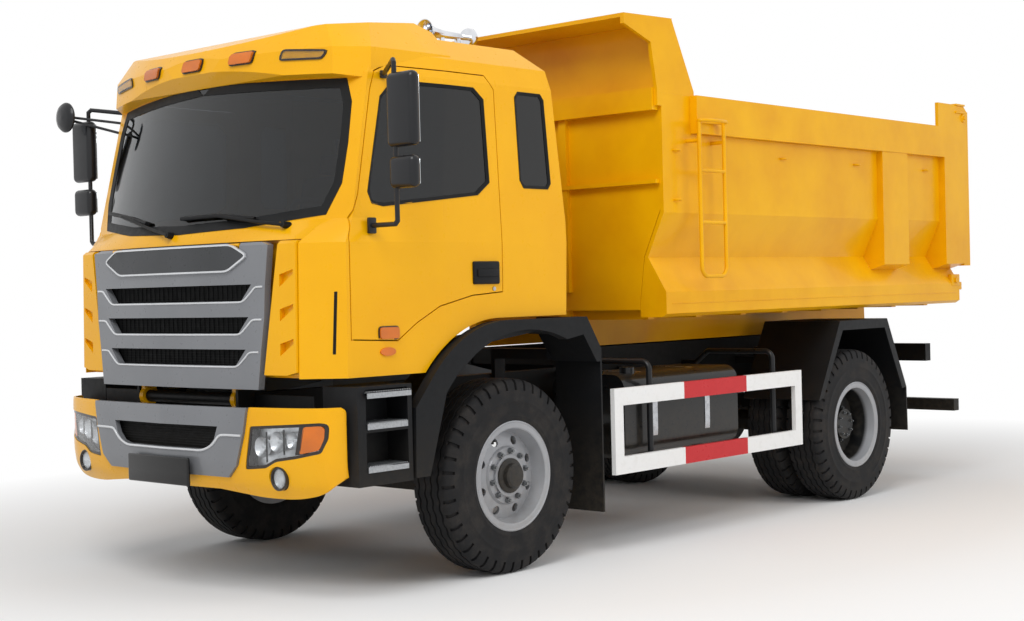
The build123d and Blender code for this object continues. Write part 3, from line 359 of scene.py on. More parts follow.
# %% Rear rims: black discs, bright outer flange
DISC_EDGE, FLANGE_EDGE = 0.246, 0.25
rear_rim, tree, shader, place = finish_of("rear rim, black disc and silver flange", Metallic=0.2)
spot = axes_of(tree, place)
radius = distance(tree, worked(tree, "SUBTRACT", spot[1], REAR_AXLE + BACK),
                  worked(tree, "SUBTRACT", spot[2], WHEEL_RADIUS))
cloud = noise(tree, place, 60, 4.0)
dusty_black = mixed(tree, ramp(tree, cloud, 0.4, 0.8, 0, 0.35), paint("#151617"), paint("#5F584C"))
on_flange = ramp(tree, radius, DISC_EDGE, FLANGE_EDGE, 0, 1)
tree.links.new(mixed(tree, on_flange, dusty_black, paint("#A6A8AC")), shader.inputs["Base Color"])
tree.links.new(ramp(tree, cloud, 0.3, 0.8, 0.35, 0.6), shader.inputs["Roughness"])
bumped(tree, shader, cloud, 0.2)

# %% [markdown]
# ## Dressing the frame
# Every ready-made piece gets one of the finishes. Pieces whose plain solid is only a
# stand-in, such as tyres, lamps, seats and mirrors, are replaced further on.

# %% Finishes on the frame's pieces
def dress(finish, *names):
    """Gives ready-made pieces their finish."""
    for name in names:
        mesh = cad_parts[name].data
        mesh.materials.clear()
        mesh.materials.append(finish)


dress(yellow, "cab_shell", "roof_visor", "cab_cheeks", "door_left", "door_right", "front_bumper")
dress(bed_yellow, "bed_floor", "bed_side_left", "bed_side_right", "headboard", "canopy", "ladder", "tailgate")
dress(chassis_black, "frame_rails", "hoist_subframe", "front_axle", "rear_axle", "prop_shaft", "silencer",
      "rear_beams", "knuckle_left", "knuckle_right", "tie_rod", "hoist_barrel")
dress(rear_rim, "rims_rear_left", "rims_rear_right")
dress(tank_black, "fuel_tank", "air_tanks", "battery_box")
dress(cast_grey, "power_unit")
dress(grille_grey, "grille", "bumper_insert")
dress(moulded_black, "step_panels", "front_fenders", "rear_mudguards", "dashboard", "seats")
dress(mirror_black, "mirrors_left", "mirrors_right")
dress(clear_lens, "front_lamps")
dress(guard_white, "side_guards")
dress(tinted, "windshield")
dress(side_glass, "cab_windows", "door_glass_left", "door_glass_right")
dress(chrome, "roof_horn", "hoist_rod")
dress(silver_paint, "rim_front_left", "rim_front_right")
dress(rubber_flap, "tyre_front_left", "tyre_front_right", "tyres_rear_left", "tyres_rear_right")

# %% [markdown]
# ## Tools for small pieces
# Everything that follows is built from a few shapes: round bars that follow a line, drums,
# outlines turned about an axis, and flat outlines that are thrown onto a curved panel and
# thickened, the way tape or a moulding is laid on. Each piece rides on the body that
# carries it on the real truck, so it moves with the door, the cab or the bed.

# %% Points, pieces and blocks
def at(x, y, z):
    """A point of the truck's drawing, whose front axle is at y = 0, in metres."""
    return Vector((x, y + BACK, z))


def piece(name, shape, finish, body, sharp=35):
    """Turns a shape into an object that is smooth up to its sharp edges and rides on a body."""
    bmesh.ops.remove_doubles(shape, verts=shape.verts, dist=0.00001)
    bmesh.ops.recalc_face_normals(shape, faces=shape.faces)
    mesh = bpy.data.meshes.new(name)
    shape.to_mesh(mesh)
    shape.free()
    for polygon in mesh.polygons:
        polygon.use_smooth = True
    mesh.set_sharp_from_angle(angle=math.radians(sharp))
    mesh.materials.append(finish)
    made = bpy.data.objects.new(name, mesh)
    bpy.context.scene.collection.objects.link(made)
    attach(made, body)
    print(name, len(mesh.polygons), "faces on", body)
    return made


def cuboid(shape, low, high, bevel=0.0, segments=2):
    """A block between two corners, with its edges rounded off if a bevel is given."""
    low, high = at(*low), at(*high)
    verts = bmesh.ops.create_cube(shape, size=1.0)["verts"]
    bmesh.ops.scale(shape, vec=high - low, verts=verts)
    bmesh.ops.translate(shape, vec=(low + high) / 2, verts=verts)
    if bevel:
        edges = list({edge for vert in verts for edge in vert.link_edges})
        bmesh.ops.bevel(shape, geom=edges, offset=bevel, segments=segments, affect="EDGES",
                        profile=0.5, material=-1)


def block_on(shape, side, low, high, bevel=0.0, segments=2):
    """A block drawn for the left side (side 1), or its mirror image on the right (side -1)."""
    first, last = sorted((side * low[0], side * high[0]))
    cuboid(shape, (first, *low[1:]), (last, *high[1:]), bevel, segments)


def poured(shape, part):
    """Adds a finished part to the shape, and clears the part away."""
    carrier = bpy.data.meshes.new("carrier")
    part.to_mesh(carrier)
    part.free()
    shape.from_mesh(carrier)
    bpy.data.meshes.remove(carrier)

# %% Drums, bars and turned parts
def drum(shape, start, end, radius, end_radius=None, sides=24):
    """A cylinder or cone between two points."""
    run = end - start
    place = Matrix.Translation((start + end) / 2) @ run.to_track_quat("Z", "Y").to_matrix().to_4x4()
    far = radius if end_radius is None else end_radius
    bmesh.ops.create_cone(shape, cap_ends=True, segments=sides, radius1=radius, radius2=far,
                          depth=run.length, matrix=place)


def round_bar(shape, points, radius, sides=8, closed=False):
    """A round bar through the points, with its ends closed."""
    rings = []
    side = None
    count = len(points)
    for index, point in enumerate(points):
        into = point - points[index - 1] if index or closed else points[1] - point
        out = points[(index + 1) % count] - point if index < count - 1 or closed else into
        along = (into.normalized() + out.normalized()).normalized()
        side = along.orthogonal() if side is None else side - along * side.dot(along)
        side.normalize()
        other = along.cross(side)
        turns = [2 * math.pi * step / sides for step in range(sides)]
        spokes = [side * math.cos(t) + other * math.sin(t) for t in turns]
        rings.append([shape.verts.new(point + spoke * radius) for spoke in spokes])
    pairs = list(zip(rings, rings[1:])) + ([(rings[-1], rings[0])] if closed else [])
    for first, second in pairs:
        for step in range(sides):
            after = (step + 1) % sides
            shape.faces.new((first[step], first[after], second[after], second[step]))
    if not closed:
        shape.faces.new(rings[0][::-1])
        shape.faces.new(rings[-1])


def spun(shape, outline, centre, axis, steps=48):
    """A closed outline of (along, radius) points turned about an axis."""
    across = axis.orthogonal().normalized()
    verts = [shape.verts.new(centre + axis * along + across * radius) for along, radius in outline]
    edges = [shape.edges.new((verts[index - 1], verts[index])) for index in range(len(verts))]
    bmesh.ops.spin(shape, geom=verts + edges, cent=centre, axis=axis, angle=2 * math.pi, steps=steps,
                   use_merge=True)

# %% Laying flat shapes on a skin
# A ray starts well outside the truck. Where it misses the skin, the skin's nearest point to
# the end of its run says how deep the shape lies there.
FRONT_START, SIDE_START = 6, 3
FRONT_RUN, SIDE_RUN = 4.6, 1.9


def skin_of(*names):
    """The outside of some of the frame's pieces, to lay things on."""
    points, faces = [], []
    for name in names:
        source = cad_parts[name]
        start = len(points)
        points += [source.matrix_world @ vert.co for vert in source.data.vertices]
        faces += [[start + index for index in polygon.vertices] for polygon in source.data.polygons]
    return BVHTree.FromPolygons(points, faces)


def thrown(skin, facing, u, v):
    """Where a ray from that side of the truck meets the skin, and the ray's way."""
    if facing in ("front", "back"):
        way = Vector((0, 1 if facing == "front" else -1, 0))
        start = at(u, -FRONT_START * way.y, v)
    else:
        way = Vector((-1 if facing == "left" else 1, 0, 0))
        start = at(-SIDE_START * way.x, u, v)
    hit = skin.ray_cast(start, way)[0]
    if hit is None:
        near = skin.find_nearest(start + way * (FRONT_RUN if way.y else SIDE_RUN))[0]
        hit = start + way * (near - start).dot(way)
    return hit, way


def diced(flat, cut):
    """Cuts flat faces along a square grid, so that they can bend."""
    for axis, line in ((0, Vector((1, 0, 0))), (1, Vector((0, 1, 0)))):
        places = [vert.co[axis] for vert in flat.verts]
        first, last = math.floor(min(places) / cut) + 1, math.ceil(max(places) / cut)
        for step in range(first, last):
            bmesh.ops.bisect_plane(flat, geom=flat.verts[:] + flat.edges[:] + flat.faces[:],
                                   plane_co=line * step * cut, plane_no=line)
    bmesh.ops.triangulate(flat, faces=flat.faces[:])


def thickened(shape, flat, push):
    """Gives the bent sheet its thickness and adds it to the shape."""
    made = bmesh.ops.extrude_face_region(flat, geom=flat.faces[:])["geom"]
    moved = [part for part in made if isinstance(part, bmesh.types.BMVert)]
    bmesh.ops.translate(flat, vec=push, verts=moved)
    poured(shape, flat)


def laid(shape, outlines, skin, facing, proud, thick, cut=0.06):
    """Flat outlines cut into small cells, thrown onto a skin and thickened inwards."""
    flat = bmesh.new()
    for outline in outlines:
        flat.faces.new([flat.verts.new((u, v, 0)) for u, v in outline])
    bmesh.ops.remove_doubles(flat, verts=flat.verts, dist=0.00001)
    diced(flat, cut)
    way = Vector((0, 1, 0))
    for vert in flat.verts:
        point, way = thrown(skin, facing, vert.co.x, vert.co.y)
        vert.co = point - way * proud
    thickened(shape, flat, way * thick)

# %% Working with outlines
def moved_in(outline, step):
    """The outline moved inwards by a step, or outwards if negative."""
    area = sum(a[0] * b[1] - b[0] * a[1] for a, b in zip(outline, outline[1:] + outline[:1]))
    turn = 1 if area > 0 else -1
    result = []
    for index, point in enumerate(outline):
        before, after = Vector(outline[index - 1]), Vector(outline[(index + 1) % len(outline)])
        here = Vector(point)
        first, second = (here - before).normalized(), (after - here).normalized()
        inward = Vector((-first.y - second.y, first.x + second.x)).normalized() * turn
        lean = max(0.5, abs(inward.dot(Vector((-first.y, first.x)))))
        result.append(tuple(here + inward * step / lean))
    return result


def strip(outline, start, end):
    """The band between two moved copies of an outline, as a list of small outlines."""
    outer, inner = moved_in(outline, start), moved_in(outline, end)
    count = len(outline)
    return [(outer[i], outer[(i + 1) % count], inner[(i + 1) % count], inner[i]) for i in range(count)]


def soft(points, radius, steps=4):
    """The outline with each corner rounded in short straight steps."""
    result = []
    for index, corner in enumerate(points):
        here = Vector(corner)
        ways = []
        for other in (Vector(points[index - 1]), Vector(points[(index + 1) % len(points)])):
            run = (other - here).length
            ways.append(here.lerp(other, min(radius, run * 0.45) / run))
        for step in range(steps + 1):
            t = step / steps
            result.append(tuple(ways[0].lerp(here, t).lerp(here.lerp(ways[1], t), t)))
    return result


def eased(line, radius, steps=5):
    """An open line with its inner corners rounded."""
    return line[:1] + soft(line, radius, steps)[steps + 1:-(steps + 1)] + line[-1:]


def mirrored(points):
    """The points, and after them their mirror images in reverse, as one outline."""
    return points + [(-x, z) for x, z in reversed(points)]


def carried_over(half):
    """A line that ends in the truck's middle, carried on as its own mirror image."""
    return half + [(-x, z) for x, z in reversed(half[:-1])]


def oval(u, v, half_u, half_v, count):
    """Points round an ellipse."""
    turns = [2 * math.pi * step / count for step in range(count)]
    return [(u + half_u * math.cos(turn), v + half_v * math.sin(turn)) for turn in turns]

# %% [markdown]
# ## Tyres
# A truck tyre is cured in a steel mould made of ring segments, so it repeats all the way
# round. The outline of half the tread, shoulder and sidewall is turned about the axle in
# 168 steps. Zigzag grooves come from shifting each pair of steps sideways, and the shoulder
# lugs from pushing every fourth column of faces inwards. The plain tyre of the frame has
# the same form, and is replaced.

# %% Tyres
STEPS = 168
ZIGZAG, GROOVE_RADIUS, GROOVED_HALF = 0.004, 0.511, 0.08
LUG_DEPTH, LUG_RADIUS, LUG_FROM, LUG_TO = 0.012, 0.466, 0.096, 0.136
HALF_TYRE = [(0.1106, 0.272), (0.1106, 0.2964), (0.1279, 0.2964), (0.1325, 0.305), (0.1372, 0.318),
             (0.1385, 0.322), (0.1370, 0.326), (0.1378, 0.345), (0.1390, 0.370), (0.1386, 0.396),
             (0.1398, 0.399), (0.1398, 0.406), (0.1382, 0.409), (0.1366, 0.440), (0.1338, 0.462),
             (0.1310, 0.478), (0.1270, 0.494), (0.1215, 0.506), (0.1150, 0.514), (0.1060, 0.5195),
             (0.0950, 0.5225), (0.0760, 0.5243), (0.0740, 0.5125), (0.0650, 0.5125),
             (0.0630, 0.5248), (0.0275, 0.5250), (0.0255, 0.5130), (0.0180, 0.5130),
             (0.0160, 0.5252)]


def tyre_into(shape, x, y):
    """One treaded tyre with its middle at this x and y, added to the shape."""
    centre = at(x, y, WHEEL_RADIUS)
    tyre = bmesh.new()
    spun(tyre, mirrored(HALF_TYRE), centre, Vector((1, 0, 0)), STEPS)
    bmesh.ops.remove_doubles(tyre, verts=tyre.verts, dist=0.00001)
    pitch = 2 * math.pi / STEPS
    for vert in tyre.verts:
        out = vert.co - centre
        radius = math.hypot(out.y, out.z)
        if radius > GROOVE_RADIUS and abs(out.x) < GROOVED_HALF:
            turn = round(math.atan2(out.z, out.y) / pitch)
            vert.co.x += ZIGZAG if turn % 4 < 2 else -ZIGZAG
    lugs = []
    for face in tyre.faces:
        out = face.calc_center_median() - centre
        radius = math.hypot(out.y, out.z)
        turn = math.floor(math.atan2(out.z, out.y) / pitch)
        if turn % 4 == 0 and radius > LUG_RADIUS and LUG_FROM < abs(out.x) < LUG_TO:
            lugs.append(face)
    bmesh.ops.inset_region(tyre, faces=lugs, thickness=0.0012, depth=-LUG_DEPTH, use_even_offset=True)
    poured(shape, tyre)


def rubber():
    """Tyre rubber: near black, with faint specked clouds of dust."""
    made, tree, shader, place = finish_of("vulcanised tyre rubber")
    cloud = noise(tree, place, 90, 5.0, 0.6)
    fine = noise(tree, place, 7, 3.0, 0.6)
    base = mixed(tree, ramp(tree, cloud, 0.35, 0.7, 0, 1), paint("#1C1C1D"), paint("#262526"))
    dusty = worked(tree, "MULTIPLY", ramp(tree, cloud, 0.45, 0.75, 0.0, 0.16),
                   ramp(tree, fine, 0.3, 0.7, 0.4, 1.0))
    tree.links.new(mixed(tree, dusty, base, paint("#6E6558")), shader.inputs["Base Color"])
    tree.links.new(ramp(tree, cloud, 0.3, 0.8, 0.62, 0.8), shader.inputs["Roughness"])
    bumped(tree, shader, fine, 0.25)
    shader.inputs["Specular IOR Level"].default_value = 0.2
    return made

# %% Tyres on their wheels
tyre_rubber = rubber()
for side, word in ((1, "left"), (-1, "right")):
    shape = bmesh.new()
    tyre_into(shape, side * 1.010, 0)
    tread = piece(f"tyre_front_{word}_treaded", shape, tyre_rubber, f"wheel_front_{word}", 40)
    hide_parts(f"tyre_front_{word}")
    shape = bmesh.new()
    tyre_into(shape, side * 1.075, REAR_AXLE)
    tyre_into(shape, side * 0.760, REAR_AXLE)
    tread = piece(f"tyres_rear_{word}_treaded", shape, tyre_rubber, f"wheels_rear_{word}", 40)
    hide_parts(f"tyres_rear_{word}")

# %% [markdown]
# ## Wheel nuts and hubs
# Ten nuts hold each wheel, on a circle a little wider than the hub. The front hubs end in a
# black grease cap; the rear ones carry the flange of the half shaft with its own bolts. The
# rear discs were painted black, and only their outer flange is bright.

# %% Nuts and hubs
FLANGE = [(0.0, 0.2975), (0.005, 0.2975), (0.008, 0.292), (0.004, 0.286), (0.003, 0.262)]
CAP = [(0.0, 0.0001), (0.0, 0.094), (0.020, 0.094), (0.026, 0.088), (0.030, 0.070), (0.052, 0.066),
       (0.060, 0.056), (0.062, 0.0001)]
FIRST_NUT = 0.2
STUD_PROUD = 0.012


def nut_circle(shape, side, x, y, radius, count, size, length):
    """A ring of hexagon nuts, each with the end of its stud showing."""
    for index in range(count):
        turn = 2 * math.pi * index / count + FIRST_NUT
        base = at(side * x, y + radius * math.cos(turn), WHEEL_RADIUS + radius * math.sin(turn))
        drum(shape, base, base + Vector((side * length, 0, 0)), size, size * 0.94, 6)
        drum(shape, base, base + Vector((side * (length + STUD_PROUD), 0, 0)), size * 0.5, None, 10)


def turned(outline, side, x, y, steps):
    """A new shape: an outline turned about the wheel's axle."""
    shape = bmesh.new()
    spun(shape, outline, at(side * x, y, WHEEL_RADIUS), Vector((side, 0, 0)), steps)
    return shape


hub_black = coated("hub grease cap, black paint", "#101112", "#17181A", 0.4, 40, 0.3, 0.2, 0.3)
for side, word in ((1, "left"), (-1, "right")):
    front, rear = f"wheel_front_{word}", f"wheels_rear_{word}"
    shape = bmesh.new()
    nut_circle(shape, side, 1.093, 0, 0.1335, 10, 0.0165, 0.024)
    piece(f"wheel_nuts_front_{word}", shape, zinc, front, 30)
    piece(f"hub_cap_front_{word}", turned(CAP, side, 1.096, 0, 48), hub_black, front, 30)
    shape = turned([(0.0, 0.258)] + FLANGE, side, 1.1355, 0, 72)
    piece(f"rim_flange_front_{word}", shape, silver_paint, front, 30)
    shape = bmesh.new()
    nut_circle(shape, side, 1.014, REAR_AXLE, 0.140, 10, 0.0165, 0.026)
    nut_circle(shape, side, 1.1125, REAR_AXLE, 0.080, 8, 0.010, 0.010)
    piece(f"wheel_nuts_rear_{word}", shape, zinc, rear, 30)
    shape = turned([(0.0, 0.256)] + FLANGE, side, 1.2005, REAR_AXLE, 72)
    piece(f"rim_flange_rear_{word}", shape, silver_paint, rear, 30)

# %% [markdown]
# ## Seals and wipers
# Every pane sits in a black rubber or behind a printed black border. The border is a band
# between two moved copies of the pane's outline, thrown onto the cab from that side.
# The wipers park low on the windshield, each on an arm from its own pivot.

# %% Window seals
seal_rubber = coated("extruded EPDM window seal", "#0C0D0E", "#131415", 0.5, 30, 0.2, 0.1, 0.0)
FRONT_GLASS = [(-0.944, 1.926), (-0.5, 1.878), (0, 1.862), (0.5, 1.878), (0.944, 1.926),
               (1.004, 2.075), (1.004, 2.278), (0.990, 2.483), (0.945, 2.6), (0, 2.64),
               (-0.945, 2.6), (-0.990, 2.483), (-1.004, 2.278), (-1.004, 2.075)]
DOOR_WINDOW = [(-0.950, 1.975), (-0.880, 1.962), (-0.230, 2.033), (-0.136, 2.100), (-0.140, 2.540),
               (-0.210, 2.596), (-0.640, 2.596), (-0.780, 2.580), (-0.850, 2.510), (-0.970, 2.030)]
QUARTER_WINDOW = [(0.114, 2.120), (0.140, 2.080), (0.335, 2.080), (0.360, 2.110), (0.345, 2.570),
                  (0.320, 2.600), (0.140, 2.600), (0.114, 2.570)]
REAR_GLASS = [(-0.7, 2.1), (0.7, 2.1), (0.7, 2.5), (-0.7, 2.5)]
front_skin = skin_of("windshield", "cab_shell")
window_skin = skin_of("cab_shell", "cab_windows")
shape = bmesh.new()
laid(shape, strip(FRONT_GLASS, -0.006, 0.042), front_skin, "front", 0.003, 0.006)
laid(shape, strip(REAR_GLASS, -0.010, 0.018), window_skin, "back", 0.004, 0.006)
for facing in ("left", "right"):
    laid(shape, strip(QUARTER_WINDOW, -0.004, 0.013), window_skin, facing, 0.003, 0.006)
piece("cab_window_seals", shape, seal_rubber, "cab", 40)
for word in ("left", "right"):
    door_skin = skin_of(f"door_{word}", f"door_glass_{word}")
    shape = bmesh.new()
    laid(shape, strip(DOOR_WINDOW, -0.004, 0.014), door_skin, word, 0.003, 0.006)
    piece(f"door_seal_{word}", shape, seal_rubber, f"door_{word}", 40)

# %% Wipers
def on_front(skin, points, proud):
    """Points thrown onto the front, held this far off it."""
    return [thrown(skin, "front", x, z)[0] - Vector((0, proud, 0)) for x, z in points]


WIPERS = (((-0.055, 1.852), (-0.585, 1.980), (-0.897, 2.018), (-0.315, 1.931)),
          ((0.765, 1.872), (0.314, 1.944), (0.020, 1.940), (0.560, 1.917)))
shape = bmesh.new()
for pivot, elbow, start, end in WIPERS:
    post = on_front(front_skin, [pivot], 0.0)[0]
    drum(shape, post + Vector((0, 0.01, 0)), post + Vector((0, -0.035, 0.008)), 0.021, 0.016, 20)
    knee = on_front(front_skin, [elbow], 0.05)[0]
    bend = post.lerp(knee, 0.35) + Vector((0, -0.018, 0))
    round_bar(shape, [post + Vector((0, -0.03, 0.006)), bend, knee], 0.009, 8)
    before = ((start[0] + elbow[0]) / 2, (start[1] + elbow[1]) / 2)
    after = ((end[0] + elbow[0]) / 2, (end[1] + elbow[1]) / 2)
    blade = on_front(front_skin, [start, before, elbow, after, end], 0.022)
    round_bar(shape, blade, 0.011, 8)
    round_bar(shape, [point + Vector((0, 0.015, -0.004)) for point in blade], 0.006, 6)
piece("wipers", shape, moulded_black, "cab", 40)

# %% [markdown]
# ## Front panel trim
# Each bar of the front panel is a shingle over the one below. Its rounded upper lip runs in
# from the side, drops down the end of the slot, and passes under it. The lip's light silver
# is a painted highlight, the shine caught by that rounded edge. A dark mesh closes the slots
# from behind. The name panel at the top is plain and bare.

# %% Lips of the slots
# The light silver of this coat is a painted highlight. It stands for the shine on rounded lips and rims.
lip_highlight_silver = coated("silver lacquer lightened for painted highlight on edges", "#D2D4D7", "#C8CACD", 0.22, 40, 0.05, 0.05,
                    0.8, metal=0.3)
mesh_black = coated("mesh and inner plastics, flat black", "#0D0E0F", "#131415", 0.7, 30, 0.2, 0.15, 0.0)
panel_skin = skin_of("grille")
SLOT_LOW, SLOT_STEP, SLOT_HEIGHT = 1.180, 0.162, 0.082
PANEL_EDGE = (0.692, 0.718, 0.728)
shape = bmesh.new()
for index, panel_edge in enumerate(PANEL_EDGE):
    low = SLOT_LOW + index * SLOT_STEP
    half_low, half_high = 0.510 + index * 0.025, 0.585 + index * 0.025
    top = low + SLOT_HEIGHT - 0.013
    drop = eased([(panel_edge - 0.012, top), (half_high + 0.028, top), (half_high + 0.006, top - 0.02),
                  (half_low + 0.012, low - 0.006), (half_low - 0.09, low - 0.006)], 0.03, 3)
    line = carried_over(drop[:-1] + [(0.2, low - 0.0065), (0, low - 0.0065)])
    lip = [point + Vector((0, 0.0015, 0)) for point in on_front(panel_skin, line, 0.002)]
    round_bar(shape, lip, 0.0055, 8)
piece("front_panel_lips", shape, lip_highlight_silver, "front_panel", 50)

# %% Mesh behind the slots
WIRE_PITCH, WIRE_HEIGHT, WIRE_DEPTH = 0.0136, 0.003, 0.007


def wires(shape, half_width, back, lowest, count):
    """Level wires one over another, in front of a sheet at this y."""
    for index in range(count):
        height = lowest + index * WIRE_PITCH
        cuboid(shape, (-half_width, back - WIRE_DEPTH, height), (half_width, back, height + WIRE_HEIGHT))


shape = bmesh.new()
cuboid(shape, (-0.64, -1.306, 1.12), (0.64, -1.302, 1.73))
wires(shape, 0.64, -1.306, 1.13, 44)
for index in range(33):
    x = -0.624 + index * 0.039
    cuboid(shape, (x - WIRE_HEIGHT / 2, -1.311, 1.12), (x + WIRE_HEIGHT / 2, -1.306, 1.73))
piece("front_panel_mesh", shape, mesh_black, "front_panel")

# %% Bare name panel
BADGE = soft([(-0.615, 1.730), (-0.50, 1.786), (0.50, 1.786), (0.615, 1.730), (0.47, 1.655),
              (-0.47, 1.655)], 0.03, 3)
shape = bmesh.new()
laid(shape, [BADGE], panel_skin, "front", 0.010, 0.011, 0.05)
piece("bare_name_panel", shape, badge_grey, "front_panel", 35)
# The rim is drawn in the same light silver, which is a painted highlight.
shape = bmesh.new()
laid(shape, strip(BADGE, -0.005, 0.004), panel_skin, "front", 0.013, 0.012, 0.05)
piece("name_panel_rim", shape, lip_highlight_silver, "front_panel", 50)

# %% [markdown]
# ## Bumper
# The bumper is a pressed shell, nearly flat across the middle, swept back at the corners and
# rolled in along its lower edge. Its form is written as two curves, one in plan and one in
# section. The shell's outline, its lamp openings and the grey insert are cut from that form.

# %% Bumper form
def read_off(line, value):
    """The second coordinate of a line where the first has this value."""
    for (start, first), (end, second) in zip(line, line[1:]):
        if value <= end:
            return first + (second - first) * (max(value, line[0][0]) - start) / (end - start)
    return line[-1][1]


PLAN = eased([(0.0, -1.446), (0.700, -1.410), (1.060, -1.330), (1.145, -1.180)], 0.16, 8)
SECTION = eased([(0.515, 0.070), (0.600, 0.014), (0.690, 0.0), (0.900, 0.0), (0.966, 0.001),
                 (0.981, 0.005)], 0.03)


def on_bumper(x, z, proud=0.0):
    """The point of the bumper's form at this x and z, held this far off it."""
    return at(x, read_off(PLAN, abs(x)) + read_off(SECTION, z) - proud, z)


def pressed(shape, outlines, proud, thick, cell=0.03):
    """A plate pressed to the form. The first outline is its edge and the others are holes."""
    flat = bmesh.new()
    for outline in outlines:
        verts = [flat.verts.new((x, z, 0)) for x, z in outline]
        for index, vert in enumerate(verts):
            flat.edges.new((verts[index - 1], vert))
    bmesh.ops.triangle_fill(flat, edges=flat.edges[:], use_beauty=True, use_dissolve=False)
    diced(flat, cell)
    for vert in flat.verts:
        vert.co = on_bumper(vert.co.x, vert.co.y, proud)
    thickened(shape, flat, Vector((0, thick, 0)))

# %% Outlines of the shell, the lamp and the centre panel
LAMP = soft([(0.668, 0.887), (1.070, 0.910), (1.092, 0.904), (1.097, 0.885), (1.094, 0.830),
             (1.070, 0.762), (0.952, 0.736), (0.832, 0.718), (0.765, 0.684), (0.628, 0.672)], 0.012, 2)
FOG_X, FOG_Z = 0.838, 0.635
FOG_HOLE = oval(FOG_X, FOG_Z, 0.060, 0.060, 32)
INSERT = [(0.511, 0.626), (0.582, 0.691), (0.636, 0.856), (0.660, 0.9795)]
INTAKE = [(0.320, 0.762), (0.375, 0.776), (0.420, 0.815), (0.446, 0.880)]
LOWER = eased([(0.400, 0.560), (0.560, 0.545), (0.700, 0.530), (0.900, 0.528), (1.060, 0.558),
               (1.134, 0.640)], 0.08)
END = eased([(1.134, 0.640), (1.134, 0.965), (1.120, 0.980)], 0.02)[1:]
LEDGE_LOW, LEDGE_HIGH, LEDGE_DEPTH = 0.970, 0.980, 0.011
LEDGE_FROM, LEDGE_TO, LEDGE_CELLS = 0.664, 1.114, 16

# %% Bumper shell with its ledge
shape = bmesh.new()
openings = [[(side * x, z) for x, z in hole] for side in (1, -1) for hole in (LAMP, FOG_HOLE)]
pressed(shape, [mirrored(LOWER + END + INSERT[::-1])] + openings, 0.0, 0.012)
run = (LEDGE_TO - LEDGE_FROM) / LEDGE_CELLS
for side in (1, -1):
    stations = [side * (LEDGE_FROM + run * step) for step in range(LEDGE_CELLS + 1)]
    for cell, (x0, x1) in enumerate(zip(stations, stations[1:])):
        rim = ((x0, 0), (x1, 0), (x1, LEDGE_DEPTH), (x0, LEDGE_DEPTH))
        corners = [on_bumper(x, LEDGE_HIGH) + Vector((0, back, 0)) for x, back in rim]
        top = [shape.verts.new(corner) for corner in corners]
        low = [shape.verts.new(corner - Vector((0, 0, LEDGE_HIGH - LEDGE_LOW))) for corner in corners]
        shape.faces.new(top)
        shape.faces.new(low)
        ends = ((3,) if cell == 0 else ()) + ((1,) if cell == LEDGE_CELLS - 1 else ())
        for index in (0, 2) + ends:
            after = (index + 1) % 4
            shape.faces.new((top[index], top[after], low[after], low[index]))
shell = piece("bumper_shell", shape, yellow, "chassis", 35)
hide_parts("front_bumper")

# %% Centre panel and its bright lip
shape = bmesh.new()
pressed(shape, [moved_in(mirrored(INSERT), 0.0015), mirrored(INTAKE)], 0.014, 0.026, 0.02)
insert = piece("bumper_centre_panel", shape, grille_grey, "chassis", 35)
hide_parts("bumper_insert")

# The lip round the centre panel is drawn in the same light silver, which is a painted highlight.
shape = bmesh.new()
half = eased([(0.622, 0.840), (0.480, 0.840), (0.452, 0.832), (0.408, 0.785), (0.330, 0.754),
              (0.2, 0.754)], 0.04, 3)
round_bar(shape, [on_bumper(x, z, 0.015) for x, z in carried_over(half + [(0, 0.754)])], 0.007, 8)
piece("bumper_lip", shape, lip_highlight_silver, "chassis", 50)

# %% Mesh in the bumper's intake
shape = bmesh.new()
cuboid(shape, (-0.47, -1.392, 0.735), (0.47, -1.386, 0.905))
wires(shape, 0.47, -1.392, 0.745, 12)
piece("bumper_mesh", shape, mesh_black, "chassis")

# %% Bare plate holder on two brackets
plate_black = coated("bare plate holder, gloss black", "#050506", "#080809", 0.2, 60, 0.1, 0.03, 0.4)
shape = bmesh.new()
cuboid(shape, (-0.262, -1.489, 0.572), (0.262, -1.469, 0.716), 0.009, 4)
for x in (-0.20, 0.17):
    cuboid(shape, (x, -1.474, 0.62), (x + 0.03, -1.452, 0.69))
piece("bare_number_plate", shape, plate_black, "chassis", 40)

# %% [markdown]
# ## Lamps
# A headlamp is a dark housing let into the bumper, with silvered bowls at its back, a clear
# moulded cover in front and an amber turn lamp at the outer end. These parts fill the
# shell's opening and stand in for the frame's solid lamp. A fog lamp sits below each, and
# five small lamps sit on the visor over the windshield.

# %% The form that the lamps follow, and their outlines
CLEAR = soft([(0.684, 0.874), (0.972, 0.889), (0.944, 0.752), (0.838, 0.734), (0.768, 0.700),
              (0.648, 0.688)], 0.012, 2)
AMBER = soft([(0.988, 0.890), (1.066, 0.895), (1.080, 0.882), (1.078, 0.832), (1.058, 0.777),
              (0.962, 0.757)], 0.012, 2)
DIVIDER = [(0.966, 0.889), (0.992, 0.890), (0.966, 0.757), (0.940, 0.752)]
COLUMNS, ROWS, CELLS_PER_METRE = 57, 25, 50
places = [on_bumper(x / CELLS_PER_METRE, 0.5 + z / CELLS_PER_METRE)
          for x in range(-COLUMNS, COLUMNS + 1) for z in range(ROWS)]
cells = [(ROWS * x + z, ROWS * x + z + 1, ROWS * x + z + ROWS + 1, ROWS * x + z + ROWS)
         for x in range(2 * COLUMNS) for z in range(ROWS - 1)]
lamp_skin = BVHTree.FromPolygons(places, cells)
reflector_silver = metal("vacuum silvered reflector", "#F4F5F6", 0.25, 60, 0.02)
AHEAD = Vector((0, -1, 0))

